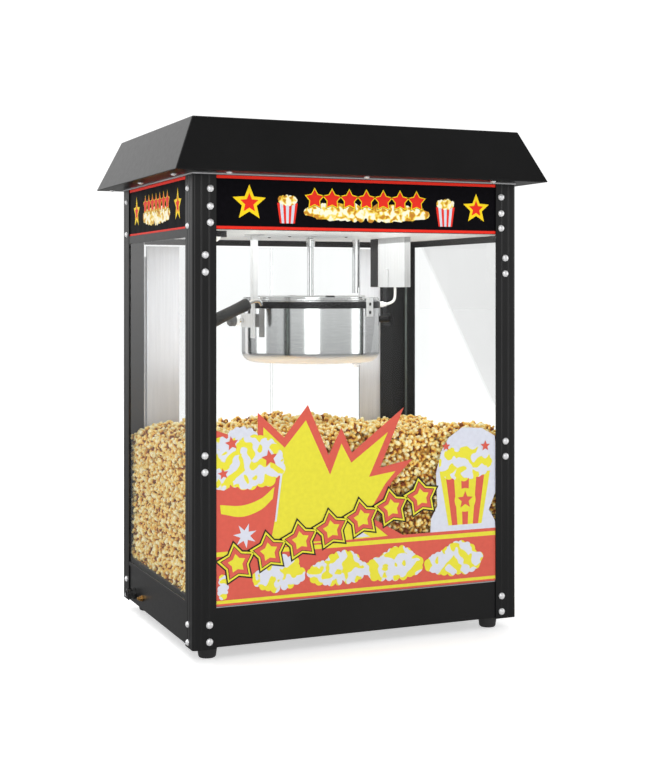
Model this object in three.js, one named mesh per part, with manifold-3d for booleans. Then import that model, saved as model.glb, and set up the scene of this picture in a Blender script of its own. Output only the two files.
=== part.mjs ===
// A countertop popcorn machine with an 8-ounce kettle: a black sheet-metal cabinet with a hipped
// roof, glazed on the front and sides, two clear doors at the back, and a stirred kettle that tips.
// Millimetres, +Z up. The origin is on the table under the middle of the machine.
// -Y is the customer's side, +Y the operator's side.
import * as THREE from 'three';
import { mergeVertices } from 'three/addons/utils/BufferGeometryUtils.js';
import Module from 'manifold-3d';

const wasm = await Module();
wasm.setup();

// ---- Driving dimensions -------------------------------------------------------------------
const GAP = 0.3; // clearance between touching pieces
const BODY_W = 492; // over the corner posts
const BODY_D = 352;
const EAVE_W = 560; // roof at its lower edge
const EAVE_D = 420;
const RIDGE_W = 495; // roof at its flat top
const RIDGE_D = 359;
const FOOT_H = 17;
const BASE_TOP = 70.5; // upper edge of the base walls
const FLOOR_TOP = 72; // cabinet floor, which the glass stands on
const CEILING_Z = 573; // underside of the motor compartment
const BODY_TOP = 646; // upper edge of the posts and signs
const EAVE_Z = 648;
const ROOF_TOP = 722;
const POST_FRONT_LEG = 33;
const POST_SIDE_LEG = 32;
const POST_SHEET = 1.5;
const POST_CORNER_R = 8;
const WALL = 1.2; // sheet of the base, floor and ceiling
const GLASS = 4;

const KETTLE_X = -4; // kettle and stirrer axis
const KETTLE_R = 103.5;
const KETTLE_BOTTOM = 386;
const BAND_BOTTOM = 466;
const BAND_TOP = 475.5;
const RIM_TOP = 480.2;
const TILT_Z = 448; // the kettle tips about a line along X at Y = 0
const SHAFT_R = 4.8;
const LID_HINGE_Y = 8.5;
const LID_HINGE_Z = 482.5;

const DOOR_HINGE_X = 211.5;
const DOOR_HINGE_Y = 178.6;
const DOOR_BOTTOM = 75;
const DOOR_TOP = 561;

const DRAWER_W = 216;
const DRAWER_FRONT_Y = 20; // inner end of the tray
const DRAWER_Z = [32, 60];

const SWITCH_X = [-70, 0, 70];
const SWITCH_Z = 610;
const SWITCH_PIVOT_Y = 168.2;
const ROCKER_REST_DEG = -12;

// ---- Frame lines worked out from them -----------------------------------------------------
const OUT_X = BODY_W / 2;
const OUT_Y = BODY_D / 2;
const SKIN_X = OUT_X - POST_SHEET - GAP; // outer face of every panel behind the posts
const SKIN_Y = OUT_Y - POST_SHEET - GAP;
const OPEN_X = OUT_X - POST_FRONT_LEG; // free width between the post legs
const SIDE_GLASS_Y = SKIN_Y - GLASS - GAP;
const FRONT_GLASS_X = SKIN_X - GLASS - 2 * GAP;

// ---- Materials ----------------------------------------------------------------------------
const finish = (color, roughness, metalness, extra = {}) =>
  new THREE.MeshStandardMaterial({ color, roughness, metalness, ...extra });
const BLACK_PAINT = finish(0x242424, 0.4, 0.1);
const STAINLESS = finish(0xc9cbcc, 0.3, 0.9);
const POLISHED = finish(0xdcdddf, 0.12, 1.0);
const DARK_STEEL = finish(0x2b2b2c, 0.5, 0.7);
const GLAZING = finish(0xeef3f4, 0.05, 0.0, { transparent: true, opacity: 0.2 });
const ACRYLIC = finish(0xf2f5f5, 0.1, 0.0, { transparent: true, opacity: 0.25 });
const SIGN_PRINT = finish(0x17151a, 0.35, 0.0);
const RUBBER = finish(0x161616, 0.8, 0.0);
const BAKELITE = finish(0x1c1c1c, 0.45, 0.0);
const SWITCH_RED = finish(0xb3261e, 0.35, 0.0);
const BRASS = finish(0xc79a45, 0.3, 0.9);
const LAMP_GLASS = finish(0xf6f3ea, 0.4, 0.0);
const SILICONE = finish(0xe9e8e4, 0.6, 0.0);

// ---- Shape helpers ------------------------------------------------------------------------
const root = new THREE.Group();

function part(name, geometry, material, parent = root) {
  const mesh = new THREE.Mesh(geometry, material);
  mesh.name = name;
  parent.add(mesh);
  return mesh;
}

// A box between two corners.
function block(low, high) {
  const size = high.map((value, axis) => value - low[axis]);
  const middle = high.map((value, axis) => (value + low[axis]) / 2);
  return new THREE.BoxGeometry(...size).translate(...middle);
}

// A cylinder between two points on a line along one axis ('x', 'y' or 'z').
function rod(axis, radius, centre, from, to, sides = 16) {
  const geometry = new THREE.CylinderGeometry(radius, radius, to - from, sides);
  if (axis === 'x') geometry.rotateZ(-Math.PI / 2);
  if (axis === 'z') geometry.rotateX(Math.PI / 2);
  const middle = (from + to) / 2;
  const place = {
    x: [middle, centre[0], centre[1]],
    y: [centre[0], middle, centre[1]],
    z: [centre[0], centre[1], middle],
  };
  return geometry.translate(...place[axis]);
}

// A turned piece about a vertical axis; profile points are [radius, z].
function turned(profile, centre, sides = 40) {
  const points = profile.map(([radius, z]) => new THREE.Vector2(radius, z));
  return new THREE.LatheGeometry(points, sides).rotateX(Math.PI / 2).translate(...centre, 0);
}

// A closed ring profile for turned(): inner radius, outer radius, bottom and top.
const ringProfile = (inner, outer, low, high) => [
  [inner, low], [outer, low], [outer, high], [inner, high], [inner, low],
];

// A flat outline extruded along one axis between two stations.
// 'x': outline is (y, z); 'y': outline is (x, z); 'z': outline is (x, y).
function prism(axis, outline, from, to) {
  const shape = new THREE.Shape(outline.map(([a, b]) => new THREE.Vector2(a, b)));
  const geometry = new THREE.ExtrudeGeometry(shape, { depth: to - from, bevelEnabled: false });
  const basis = {
    x: [[0, 1, 0], [0, 0, 1], [1, 0, 0]],
    y: [[1, 0, 0], [0, 0, 1], [0, -1, 0]],
    z: [[1, 0, 0], [0, 1, 0], [0, 0, 1]],
  };
  const columns = basis[axis].map((column) => new THREE.Vector3(...column));
  geometry.applyMatrix4(new THREE.Matrix4().makeBasis(...columns));
  const shift = { x: [from, 0, 0], y: [0, to, 0], z: [0, 0, from] };
  return geometry.translate(...shift[axis]);
}

// A plate in plan whose corners are cut off to clear the posts' inner round.
function plate(halfX, halfY, low, high, corner = 6) {
  const outline = [
    [halfX, -halfY + corner], [halfX, halfY - corner], [halfX - corner, halfY], [-halfX + corner, halfY],
    [-halfX, halfY - corner], [-halfX, -halfY + corner], [-halfX + corner, -halfY], [halfX - corner, -halfY],
  ];
  return prism('z', outline, low, high);
}

// A round bar along a smooth curve through the given points.
function bar(points, radius, steps, quarter) {
  const curve = new THREE.CatmullRomCurve3(points.map((point) => new THREE.Vector3(...point)));
  const section = new THREE.Shape();
  section.absarc(0, 0, radius, 0, Math.PI * 2);
  const options = { steps, extrudePath: curve, curveSegments: quarter, bevelEnabled: false };
  return new THREE.ExtrudeGeometry(section, options);
}

function toManifold(geometry) {
  const bare = geometry.clone();
  bare.deleteAttribute('normal');
  bare.deleteAttribute('uv');
  const merged = mergeVertices(bare, 1e-4);
  const vertProperties = new Float32Array(merged.attributes.position.array);
  const triVerts = new Uint32Array(merged.index.array);
  return new wasm.Manifold(new wasm.Mesh({ numProp: 3, vertProperties, triVerts }));
}

function toGeometry(manifold) {
  const mesh = manifold.getMesh();
  const geometry = new THREE.BufferGeometry();
  geometry.setAttribute('position', new THREE.BufferAttribute(mesh.vertProperties, 3));
  geometry.setIndex(new THREE.BufferAttribute(mesh.triVerts, 1));
  geometry.computeVertexNormals();
  return geometry;
}

// Joins the pieces of the first list, then takes the pieces of the second list away.
function fuse(joined, cut = []) {
  let solid = toManifold(joined[0]);
  joined.slice(1).forEach((geometry) => {
    solid = solid.add(toManifold(geometry));
  });
  cut.forEach((geometry) => {
    solid = solid.subtract(toManifold(geometry));
  });
  return toGeometry(solid);
}

const mirrored = ([low, high]) => [-high, -low];
const sideName = (sign) => (sign < 0 ? 'left' : 'right');

// ---- Corner posts -------------------------------------------------------------------------
// An angle in plan with a rounded outer corner and two shallow pressed grooves on each leg.
function postOutline(signX, signY) {
  const grooveDepth = 0.6;
  const grooveHalf = 1.1;
  const grooves = [12, 23];
  const outer = [[POST_FRONT_LEG, 0]];
  [...grooves].reverse().forEach((at) => {
    outer.push([at + grooveHalf, 0], [at, grooveDepth], [at - grooveHalf, 0]);
  });
  const arcSteps = 5;
  for (let step = 0; step <= arcSteps; step += 1) {
    const angle = (step / arcSteps) * (Math.PI / 2);
    outer.push([POST_CORNER_R * (1 - Math.sin(angle)), POST_CORNER_R * (1 - Math.cos(angle))]);
  }
  grooves.forEach((at) => {
    outer.push([0, at - grooveHalf], [grooveDepth, at], [0, at + grooveHalf]);
  });
  outer.push([0, POST_SIDE_LEG], [POST_SHEET, POST_SIDE_LEG]);
  const innerR = POST_CORNER_R - POST_SHEET;
  for (let step = arcSteps; step >= 0; step -= 1) {
    const angle = (step / arcSteps) * (Math.PI / 2);
    outer.push([POST_CORNER_R - innerR * Math.sin(angle), POST_CORNER_R - innerR * Math.cos(angle)]);
  }
  outer.push([POST_FRONT_LEG, POST_SHEET]);
  return outer.map(([a, b]) => [signX * (OUT_X - a), signY * (OUT_Y - b)]);
}

[-1, 1].forEach((signY) => {
  [-1, 1].forEach((signX) => {
    const name = `post_${signY < 0 ? 'front' : 'back'}_${sideName(signX)}`;
    part(name, prism('z', postOutline(signX, signY), FOOT_H, BODY_TOP - GAP), BLACK_PAINT);
  });
});

// ---- Base: folded walls with an inward lip, bottom plate, feet ------------------------------
const GLAND = { y: 116, z: 34, hole: 6.4 };
const EARTH = { y: 72, z: 35, hole: 2.6 };
const BASE_BOTTOM = 18.5;
const LIP = 12;

part('base_walls', fuse(
  [plate(SKIN_X, SKIN_Y, BASE_BOTTOM, BASE_TOP)],
  [
    plate(SKIN_X - WALL, SKIN_Y - WALL, 0, BASE_TOP - WALL),
    block([-SKIN_X + LIP, -SKIN_Y + LIP, 0], [SKIN_X - LIP, SKIN_Y - LIP, BASE_TOP + 1]),
    block([-DRAWER_W / 2 - 1, SKIN_Y - LIP, 30], [DRAWER_W / 2 + 1, SKIN_Y + 1, 62]),
    rod('x', GLAND.hole, [GLAND.y, GLAND.z], -SKIN_X - 1, -SKIN_X + 2),
    rod('x', EARTH.hole, [EARTH.y, EARTH.z], -SKIN_X - 1, -SKIN_X + 2, 12),
  ],
), BLACK_PAINT);

// The bottom plate carries the two angle runners that the crumb drawer slides on.
const RUNNER_Z = DRAWER_Z[0] - GAP;
const runners = [-1, 1].flatMap((sign) => {
  const outer = [DRAWER_W / 2 + GAP, DRAWER_W / 2 + GAP + WALL];
  const ledge = [DRAWER_W / 2 - 6, DRAWER_W / 2 + GAP + WALL];
  const wall = sign < 0 ? mirrored(outer) : outer;
  const shelf = sign < 0 ? mirrored(ledge) : ledge;
  return [
    block([wall[0], DRAWER_FRONT_Y, BASE_BOTTOM + WALL / 2], [wall[1], SKIN_Y - 4, 44]),
    block([shelf[0], DRAWER_FRONT_Y, RUNNER_Z - WALL], [shelf[1], SKIN_Y - 4, RUNNER_Z]),
  ];
});
const PLATE_X = SKIN_X - WALL - GAP;
const PLATE_Y = SKIN_Y - WALL - GAP;
part('bottom_plate', fuse([
  plate(PLATE_X, PLATE_Y, BASE_BOTTOM, BASE_BOTTOM + WALL),
  ...runners,
]), BLACK_PAINT);

const footProfile = [
  [3.5, 5], [3.5, 0], [11, 0], [12, 1], [14, 15], [14, BASE_BOTTOM - GAP], [0, BASE_BOTTOM - GAP], [0, 5],
];
[-1, 1].forEach((signY) => {
  [-1, 1].forEach((signX) => {
    const name = `foot_${signY < 0 ? 'front' : 'back'}_${sideName(signX)}`;
    part(name, turned([...footProfile.slice(-1), ...footProfile], [signX * 216, signY * 146], 16), RUBBER);
  });
});

// ---- Cabinet floor with crumb slots over the drawer ----------------------------------------
const crumbSlots = [];
for (let column = -3; column <= 3; column += 1) {
  for (let row = 0; row < 4; row += 1) {
    const x = column * 26;
    const y = 44 + row * 28;
    crumbSlots.push(block([x - 9, y - 3, 60], [x + 9, y + 3, 80]));
  }
}
part('cabinet_floor', fuse(
  [plate(SKIN_X, SKIN_Y, BASE_TOP + GAP, FLOOR_TOP)],
  crumbSlots,
), STAINLESS);

// ---- Glass, signs, rails --------------------------------------------------------------------
part('glass_front', block(
  [-FRONT_GLASS_X, -SKIN_Y, FLOOR_TOP + GAP],
  [FRONT_GLASS_X, -SKIN_Y + GLASS, CEILING_Z - GAP],
), GLAZING);

const SIGN_SHEET = 3;
part('sign_front', block(
  [-FRONT_GLASS_X, -SKIN_Y, CEILING_Z + GAP],
  [FRONT_GLASS_X, -SKIN_Y + SIGN_SHEET, BODY_TOP - GAP],
), SIGN_PRINT);

const RAIL_LOW = 563.5;
const RAIL_HIGH = 574.8;
[-1, 1].forEach((sign) => {
  const span = (low, high) => (sign < 0 ? mirrored([low, high]) : [low, high]);
  const glass = span(SKIN_X - GLASS, SKIN_X);
  const glassTop = RAIL_LOW + 6;
  part(`glass_${sideName(sign)}`, block(
    [glass[0], -SIDE_GLASS_Y, FLOOR_TOP + GAP],
    [glass[1], SIDE_GLASS_Y, glassTop],
  ), GLAZING);
  const rail = span(SKIN_X - GLASS - GAP - WALL, SKIN_X + WALL);
  const slot = span(SKIN_X - GLASS - GAP, SKIN_X + 0.1);
  const reach = OUT_Y - POST_SIDE_LEG - GAP;
  part(`rail_${sideName(sign)}`, fuse(
    [block([rail[0], -reach, RAIL_LOW], [rail[1], reach, RAIL_HIGH])],
    [block([slot[0], -reach - 1, RAIL_LOW - 1], [slot[1], reach + 1, glassTop + GAP])],
  ), BLACK_PAINT);
  const sign3 = span(SKIN_X - SIGN_SHEET, SKIN_X);
  part(`sign_${sideName(sign)}`, block(
    [sign3[0], -SIDE_GLASS_Y, RAIL_HIGH + GAP],
    [sign3[1], SIDE_GLASS_Y, BODY_TOP - GAP],
  ), SIGN_PRINT);
});

part('rail_back', block(
  [-OPEN_X + GAP, SKIN_Y - 6, RAIL_LOW],
  [OPEN_X - GAP, SKIN_Y, CEILING_Z - GAP],
), BLACK_PAINT);

// ---- Back panel of the motor compartment, with three switch windows --------------------------
const WINDOW = { halfX: 8, halfZ: 14 };
const BEZEL = 4;
const bezels = SWITCH_X.map((x) => block(
  [x - WINDOW.halfX - BEZEL, SKIN_Y - 1, SWITCH_Z - WINDOW.halfZ - BEZEL],
  [x + WINDOW.halfX + BEZEL, SKIN_Y + 2, SWITCH_Z + WINDOW.halfZ + BEZEL],
));
const windows = SWITCH_X.map((x) => block(
  [x - WINDOW.halfX, SKIN_Y - 10, SWITCH_Z - WINDOW.halfZ],
  [x + WINDOW.halfX, SKIN_Y + 10, SWITCH_Z + WINDOW.halfZ],
));
part('back_panel', fuse([
  block([-FRONT_GLASS_X, SKIN_Y - SIGN_SHEET, CEILING_Z + GAP], [FRONT_GLASS_X, SKIN_Y, BODY_TOP - GAP]),
  ...bezels,
], windows), BLACK_PAINT);

// Each rocker pivots behind the panel; its face is a shallow V.
const rockerOutline = [[-3, -8], [6.6, -12.2], [5.2, 0], [6.6, 12.2], [-3, 8]];
['light', 'heat', 'stir'].forEach((use, index) => {
  const shape = prism('x', rockerOutline, -WINDOW.halfX + 0.5, WINDOW.halfX - 0.5);
  const rocker = part(`rocker_${use}`, shape, SWITCH_RED);
  rocker.position.set(SWITCH_X[index], SWITCH_PIVOT_Y, SWITCH_Z);
  rocker.rotation.x = THREE.MathUtils.degToRad(ROCKER_REST_DEG);
});

// ---- Ceiling, top plate and roof --------------------------------------------------------------
const STEM_HOLE_R = 8;
const ventHoles = [-150, -100, -50, 50, 100].flatMap((x) => [-130, -115].map((y) =>
  rod('z', 3, [x, y], CEILING_Z - 5, CEILING_Z + 5, 8)));
const CEILING_X = SKIN_X - GLASS - WALL - 2 * GAP;
part('ceiling_plate', fuse(
  [block([-CEILING_X, -SKIN_Y + SIGN_SHEET + GAP, CEILING_Z],
    [CEILING_X, SKIN_Y - SIGN_SHEET - GAP, CEILING_Z + WALL])],
  [rod('z', STEM_HOLE_R, [KETTLE_X, 0], CEILING_Z - 5, CEILING_Z + 5), ...ventHoles],
), STAINLESS);

part('top_plate', fuse(
  [block([-OUT_X, -OUT_Y, BODY_TOP], [OUT_X, OUT_Y, EAVE_Z - GAP])],
  [block([-OUT_X + 40, -OUT_Y + 40, BODY_TOP - 1], [OUT_X - 40, OUT_Y - 40, EAVE_Z + 1])],
), STAINLESS);

// The roof is a hollow hip: one trapezium run along X meets another run along Y.
function hip(inset, low, high) {
  const trapezium = (eave, ridge) => [
    [-eave / 2 + inset, low], [eave / 2 - inset, low],
    [ridge / 2 - inset + 1.5, high - 0.4], [ridge / 2 - inset, high],
    [-ridge / 2 + inset, high], [-ridge / 2 + inset - 1.5, high - 0.4],
  ];
  const across = toManifold(prism('y', trapezium(EAVE_W, RIDGE_W), -EAVE_D / 2, EAVE_D / 2));
  const along = toManifold(prism('x', trapezium(EAVE_D, RIDGE_D), -EAVE_W / 2, EAVE_W / 2));
  return across.intersect(along);
}
const ROOF_SHEET = 1.5;
const roofMouth = toManifold(block(
  [-OUT_X + 10, -OUT_Y + 10, EAVE_Z - 2],
  [OUT_X - 10, OUT_Y - 10, EAVE_Z + 10],
));
const roofShell = hip(0, EAVE_Z, ROOF_TOP)
  .subtract(hip(ROOF_SHEET * 1.6, EAVE_Z + ROOF_SHEET, ROOF_TOP - ROOF_SHEET))
  .subtract(roofMouth);
part('roof', toGeometry(roofShell), BLACK_PAINT);

// ---- Cable gland and earth terminal on the left base wall --------------------------------------
part('cable_gland', fuse([
  rod('x', 9, [GLAND.y, GLAND.z], -SKIN_X - 4.3, -SKIN_X - GAP, 6),
  rod('x', 7.2, [GLAND.y, GLAND.z], -SKIN_X - 13, -SKIN_X - 3),
  rod('x', 6, [GLAND.y, GLAND.z], -SKIN_X - 2, -SKIN_X + 10),
], [rod('x', 3.6, [GLAND.y, GLAND.z], -SKIN_X - 20, -SKIN_X + 20, 12)]), RUBBER);
part('earth_terminal', fuse([
  rod('x', 4.6, [EARTH.y, EARTH.z], -SKIN_X - 1.6, -SKIN_X - GAP, 16),
  rod('x', 4, [EARTH.y, EARTH.z], -SKIN_X - 5, -SKIN_X - 1.5, 6),
  rod('x', 2.2, [EARTH.y, EARTH.z], -SKIN_X - 8, -SKIN_X + 6, 12),
]), BRASS);

// ---- Ceiling lamp -------------------------------------------------------------------------------
const LAMP = [-200, -120];
part('lamp_holder', turned(ringProfile(13.5, 20, 565, CEILING_Z - GAP), LAMP, 20), DARK_STEEL);
part('lamp_lens', turned(
  [[0, 557], [7, 558], [11, 561], [13, 565], [13, CEILING_Z - GAP], [0, CEILING_Z - GAP]],
  LAMP, 20,
), LAMP_GLASS);

// ---- Stirrer drive in the motor compartment -------------------------------------------------------
const STEM_R = 4;
part('gear_motor', fuse([
  block([KETTLE_X - 45, -32, CEILING_Z + WALL + GAP], [KETTLE_X + 45, 32, 579]),
  rod('z', 27, [KETTLE_X, 0], 578, 600, 20),
  rod('z', 20, [KETTLE_X + 12, 0], 599, 636, 20),
], [
  rod('z', STEM_R + GAP, [KETTLE_X, 0], CEILING_Z - 5, 598),
  rod('z', STEM_HOLE_R, [KETTLE_X, 0], CEILING_Z - 5, 577),
]), DARK_STEEL);

const FORK_BOTTOM = 558; // the tipping kettle's rim passes just under it
const FORK_ROOF = 567.5;
const FORK_SLOT = 4.6;
part('drive_fork', fuse([
  rod('z', 7, [KETTLE_X, 0], FORK_BOTTOM, 570, 16),
  rod('z', STEM_R, [KETTLE_X, 0], 569, 597, 20),
], [
  block([KETTLE_X - FORK_SLOT / 2, -10, FORK_BOTTOM - 1], [KETTLE_X + FORK_SLOT / 2, 10, FORK_ROOF]),
]), POLISHED);

// ---- Kettle supports hanging from the ceiling --------------------------------------------------------
const HANG_TOP = CEILING_Z - GAP;
const BAR_X = [-112, -105];
const BAR_Y = [-44, -32];
const BAR_BOTTOM = 423;
const RIM_NOTCH = { x: -109.3, top: 478 }; // the flanges step back here to clear the tipping rim
const LUG_X = [-112, -110];
part('hanger_left', fuse([
  block([BAR_X[0], BAR_Y[0], BAR_BOTTOM], [BAR_X[1], BAR_Y[1], HANG_TOP]),
  block([LUG_X[0], BAR_Y[0] + 1, TILT_Z - 10], [LUG_X[1], 9, TILT_Z + 10]),
  block([BAR_X[0] - 8, BAR_Y[0] - 4, HANG_TOP - 1.5], [BAR_X[1] + 8, BAR_Y[1] + 4, HANG_TOP]),
], [
  block([BAR_X[0] + 1.5, BAR_Y[0] + 1.5, BAR_BOTTOM - 1], [BAR_X[1] + 1, BAR_Y[1] - 1.5, HANG_TOP - 3]),
  block([RIM_NOTCH.x, BAR_Y[0] - 1, BAR_BOTTOM - 1], [BAR_X[1] + 1, BAR_Y[1] + 1, RIM_NOTCH.top]),
  rod('x', 3.4, [0, TILT_Z], LUG_X[0] - 1, LUG_X[1] + 1, 16),
]), STAINLESS);

// The right hanger is a channel that also carries the heater lead down from the motor compartment.
const CHANNEL_X = [130, 140];
const CHANNEL_Y = [-47, 70];
const CHANNEL_BOTTOM = 497;
part('hanger_right', fuse([
  block([CHANNEL_X[0], CHANNEL_Y[0], CHANNEL_BOTTOM], [CHANNEL_X[1], CHANNEL_Y[1], HANG_TOP]),
], [
  block([CHANNEL_X[0] + WALL, CHANNEL_Y[0] + WALL, CHANNEL_BOTTOM - 1],
    [CHANNEL_X[1] + 1, CHANNEL_Y[1] - WALL, HANG_TOP - WALL]),
]), POLISHED);

// A dark strap on the channel's inner face ends in the eye for the kettle's right trunnion.
const STRAP_X = [126.5, CHANNEL_X[0] - GAP];
const strapOutline = [
  [-8, TILT_Z - 10], [20, TILT_Z - 10], [20, 525], [7, 525], [7, TILT_Z + 9], [-8, TILT_Z + 9],
];
part('hanger_strap', fuse(
  [prism('x', strapOutline, ...STRAP_X)],
  [rod('x', 5.4, [0, TILT_Z], STRAP_X[0] - 1, STRAP_X[1] + 1, 20)],
), DARK_STEEL);

const LEAD_Z = 470.7;
part('heater_lead', bar([
  [135.5, -4, 560], [135.5, -4, 530], [135.5, -4, 500], [135.2, -3.5, 486],
  [133, -2.5, 479], [129, -1, 474.6], [123.6, 0, 471.4],
], 2, 12, 4), SILICONE);

// ---- Kettle --------------------------------------------------------------------------------------------
const kettleCentre = [KETTLE_X, 0];
const KETTLE_SIDES = 40;

// Points of a quarter round that turns a flat bottom up into a wall, from the bottom to the wall.
function bottomRound(wallR, floorZ, cornerR, steps = 3) {
  return Array.from({ length: steps + 1 }, (_, step) => {
    const angle = (step / steps) * (Math.PI / 2);
    return [wallR - cornerR + cornerR * Math.sin(angle), floorZ + cornerR - cornerR * Math.cos(angle)];
  });
}

function bowl(outerR, sheet, floorZ, cornerR, topZ) {
  const outside = bottomRound(outerR, floorZ, cornerR);
  const inside = bottomRound(outerR - sheet, floorZ + sheet, cornerR - sheet).reverse();
  return [[0, floorZ], ...outside, [outerR, topZ], [outerR - sheet, topZ], ...inside, [0, floorZ + sheet]];
}

const TRUNNION_R = 5;
part('kettle_shell', fuse([
  turned(bowl(KETTLE_R, 1.5, KETTLE_BOTTOM, 16, BAND_BOTTOM - GAP), kettleCentre, KETTLE_SIDES),
  rod('x', TRUNNION_R, [0, TILT_Z], KETTLE_X + KETTLE_R - 1.2, 133, 20),
  rod('x', 7, [0, TILT_Z], KETTLE_X - KETTLE_R - 1.6, KETTLE_X - KETTLE_R + 1.2, 20),
]), POLISHED);

const PAN_R = 100;
const panOutline = bowl(PAN_R, 1.5, 397, 9, 476);
part('kettle_pan', fuse([
  turned(panOutline, kettleCentre, KETTLE_SIDES),
  turned(ringProfile(PAN_R - 1, KETTLE_R + 0.8, BAND_TOP + GAP, 477), kettleCentre, KETTLE_SIDES),
]), POLISHED);

part('heating_ring', turned(ringProfile(58, 68, 388.2, 396.2), kettleCentre, 24), DARK_STEEL);

part('rim_band', turned(
  ringProfile(PAN_R + GAP + 0.2, KETTLE_R + 1, BAND_BOTTOM, BAND_TOP),
  kettleCentre, KETTLE_SIDES,
), DARK_STEEL);

// Fixed lid frame: a bright ring, a bridge along X and the hub that steadies the stirrer shaft.
const FRAME_LOW = 477.3;
const RING_R = 102.5;
part('lid_frame', fuse([
  turned(ringProfile(PAN_R - 4, RING_R, FRAME_LOW, RIM_TOP), kettleCentre, KETTLE_SIDES),
  block([KETTLE_X - PAN_R + 2, -6, FRAME_LOW], [KETTLE_X + PAN_R - 2, 6, RIM_TOP]),
  rod('z', 9, kettleCentre, FRAME_LOW - 4, RIM_TOP, 16),
], [rod('z', SHAFT_R + 0.6, kettleCentre, FRAME_LOW - 10, RIM_TOP + 10, 24)]), POLISHED);

// Two half lids, each curled round its own hinge line beside the bridge, each with a low button to lift it by.
const LID_R = 101;
const LID_LOW = LID_HINGE_Z - 1.9;
const LID_HIGH = LID_HINGE_Z - 0.5;
[-1, 1].forEach((sign) => {
  const disc = turned([[0, LID_LOW], [LID_R, LID_LOW], [LID_R, LID_HIGH], [0, LID_HIGH]], kettleCentre, KETTLE_SIDES);
  const keep = sign < 0 ? [-LID_R - 5, -LID_HINGE_Y] : [LID_HINGE_Y, LID_R + 5];
  const half = toManifold(disc).intersect(toManifold(block(
    [KETTLE_X - LID_R - 5, keep[0], LID_LOW - 5],
    [KETTLE_X + LID_R + 5, keep[1], LID_HIGH + 5],
  )));
  const knob = turned(
    [[0, LID_HIGH - 0.5], [7, LID_HIGH - 0.5], [7, 483.4], [6, 484.6], [0, 484.6]],
    [KETTLE_X, sign * 74], 12,
  );
  const curl = rod('x', 2, [sign * LID_HINGE_Y, LID_HINGE_Z], KETTLE_X - 86, KETTLE_X + 86, 12);
  const lid = half.add(toManifold(curl)).add(toManifold(knob));
  part(`lid_${sign < 0 ? 'front' : 'back'}`, toGeometry(lid), POLISHED);
});

// Tipping handle: a bent rod from the kettle's rim out past the left hanger, and its grip.
const HANDLE_Y = -50;
const GRIP_START = [-121, 473.4];
const GRIP_END = [-190, 441.5];
const gripAt = (share) => [
  GRIP_START[0] + (GRIP_END[0] - GRIP_START[0]) * share,
  HANDLE_Y,
  GRIP_START[1] + (GRIP_END[1] - GRIP_START[1]) * share,
];
const rimContact = [KETTLE_X - 94, -47.4, 471];
part('handle_rod', bar([
  [rimContact[0] - 2.6, rimContact[1] - 1.5, rimContact[2]],
  [-105, HANDLE_Y + 0.2, 477],
  [-113, HANDLE_Y, 476.6],
  gripAt(0.02),
  gripAt(0.3),
  gripAt(0.6),
  gripAt(0.9),
], 3, 12, 4), DARK_STEEL);

const gripLength = Math.hypot(GRIP_END[0] - GRIP_START[0], GRIP_END[1] - GRIP_START[1]);
const gripProfile = [
  [3.6, 0], [6.5, 0], [8.6, 1.6], [9.2, 5], [8.6, 18], [8.8, 40], [9.3, 60],
  [8.8, gripLength - 4], [6.5, gripLength], [3.6, gripLength], [3.6, 0],
];
const grip = part('handle_grip', new THREE.LatheGeometry(
  gripProfile.map(([radius, along]) => new THREE.Vector2(radius, along)), 14,
), BAKELITE);
grip.position.set(...gripAt(0));
grip.rotation.z = Math.atan2(GRIP_END[1] - GRIP_START[1], GRIP_END[0] - GRIP_START[0]) - Math.PI / 2;
grip.rotation.order = 'XZY';
grip.rotation.x = Math.PI / 2;

// Heater connector on the right of the kettle, on the band's level.
part('heater_connector', fuse([
  rod('x', 5.6, [0, LEAD_Z], KETTLE_X + KETTLE_R + 1.6, 112, 12),
  rod('x', 4.4, [0, LEAD_Z], 111, 118, 20),
  rod('x', 3.2, [0, LEAD_Z], 117, 122, 20),
]), BAKELITE);

// Thumb knob: its stem is the left trunnion, through the hanger's lug into the kettle's boss.
part('pivot_knob', fuse([
  rod('x', 3, [0, TILT_Z], -120, KETTLE_X - KETTLE_R - 1.6 - GAP, 16),
  rod('x', 7.6, [0, TILT_Z], -124, -119, 20),
  rod('x', 8.3, [0, TILT_Z], -132, -123.5, 16),
  rod('x', 6.8, [0, TILT_Z], -136, -131.5, 16),
]), BAKELITE);

// ---- Stirrer ---------------------------------------------------------------------------------------------
const TANG_TOP = 566.5;
const TANG_HALF = 1.8;
const SHOULDER = FORK_BOTTOM - 1;
part('stirrer_shaft', fuse(
  [rod('z', SHAFT_R, kettleCentre, 399.8, TANG_TOP, 24)],
  [-1, 1].map((sign) => {
    const side = sign < 0 ? [-12, -TANG_HALF] : [TANG_HALF, 12];
    return block([KETTLE_X + side[0], -12, SHOULDER], [KETTLE_X + side[1], 12, TANG_TOP + 1]);
  }),
), POLISHED);
part('stirrer_blade', fuse([
  rod('z', 10, kettleCentre, 399.3, 408, 16),
  block([KETTLE_X - 84, -5, 399.3], [KETTLE_X + 84, 5, 402.3]),
  block([KETTLE_X + 60, -5, 399.3], [KETTLE_X + 84, -2, 412]),
  block([KETTLE_X - 84, 2, 399.3], [KETTLE_X - 60, 5, 412]),
], [rod('z', SHAFT_R + 0.4, kettleCentre, 390, 420, 24)]), STAINLESS);

// ---- Back doors: clear panels in edge stiles that carry the hinge knuckles ------------------------------------
const KNUCKLE_R = 2.8;
const PIN_R = 1.3;
const KNUCKLE_SPAN = [90, 545];
const KNUCKLES = 5;
const KNUCKLE_PITCH = (KNUCKLE_SPAN[1] - KNUCKLE_SPAN[0]) / KNUCKLES;

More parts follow.
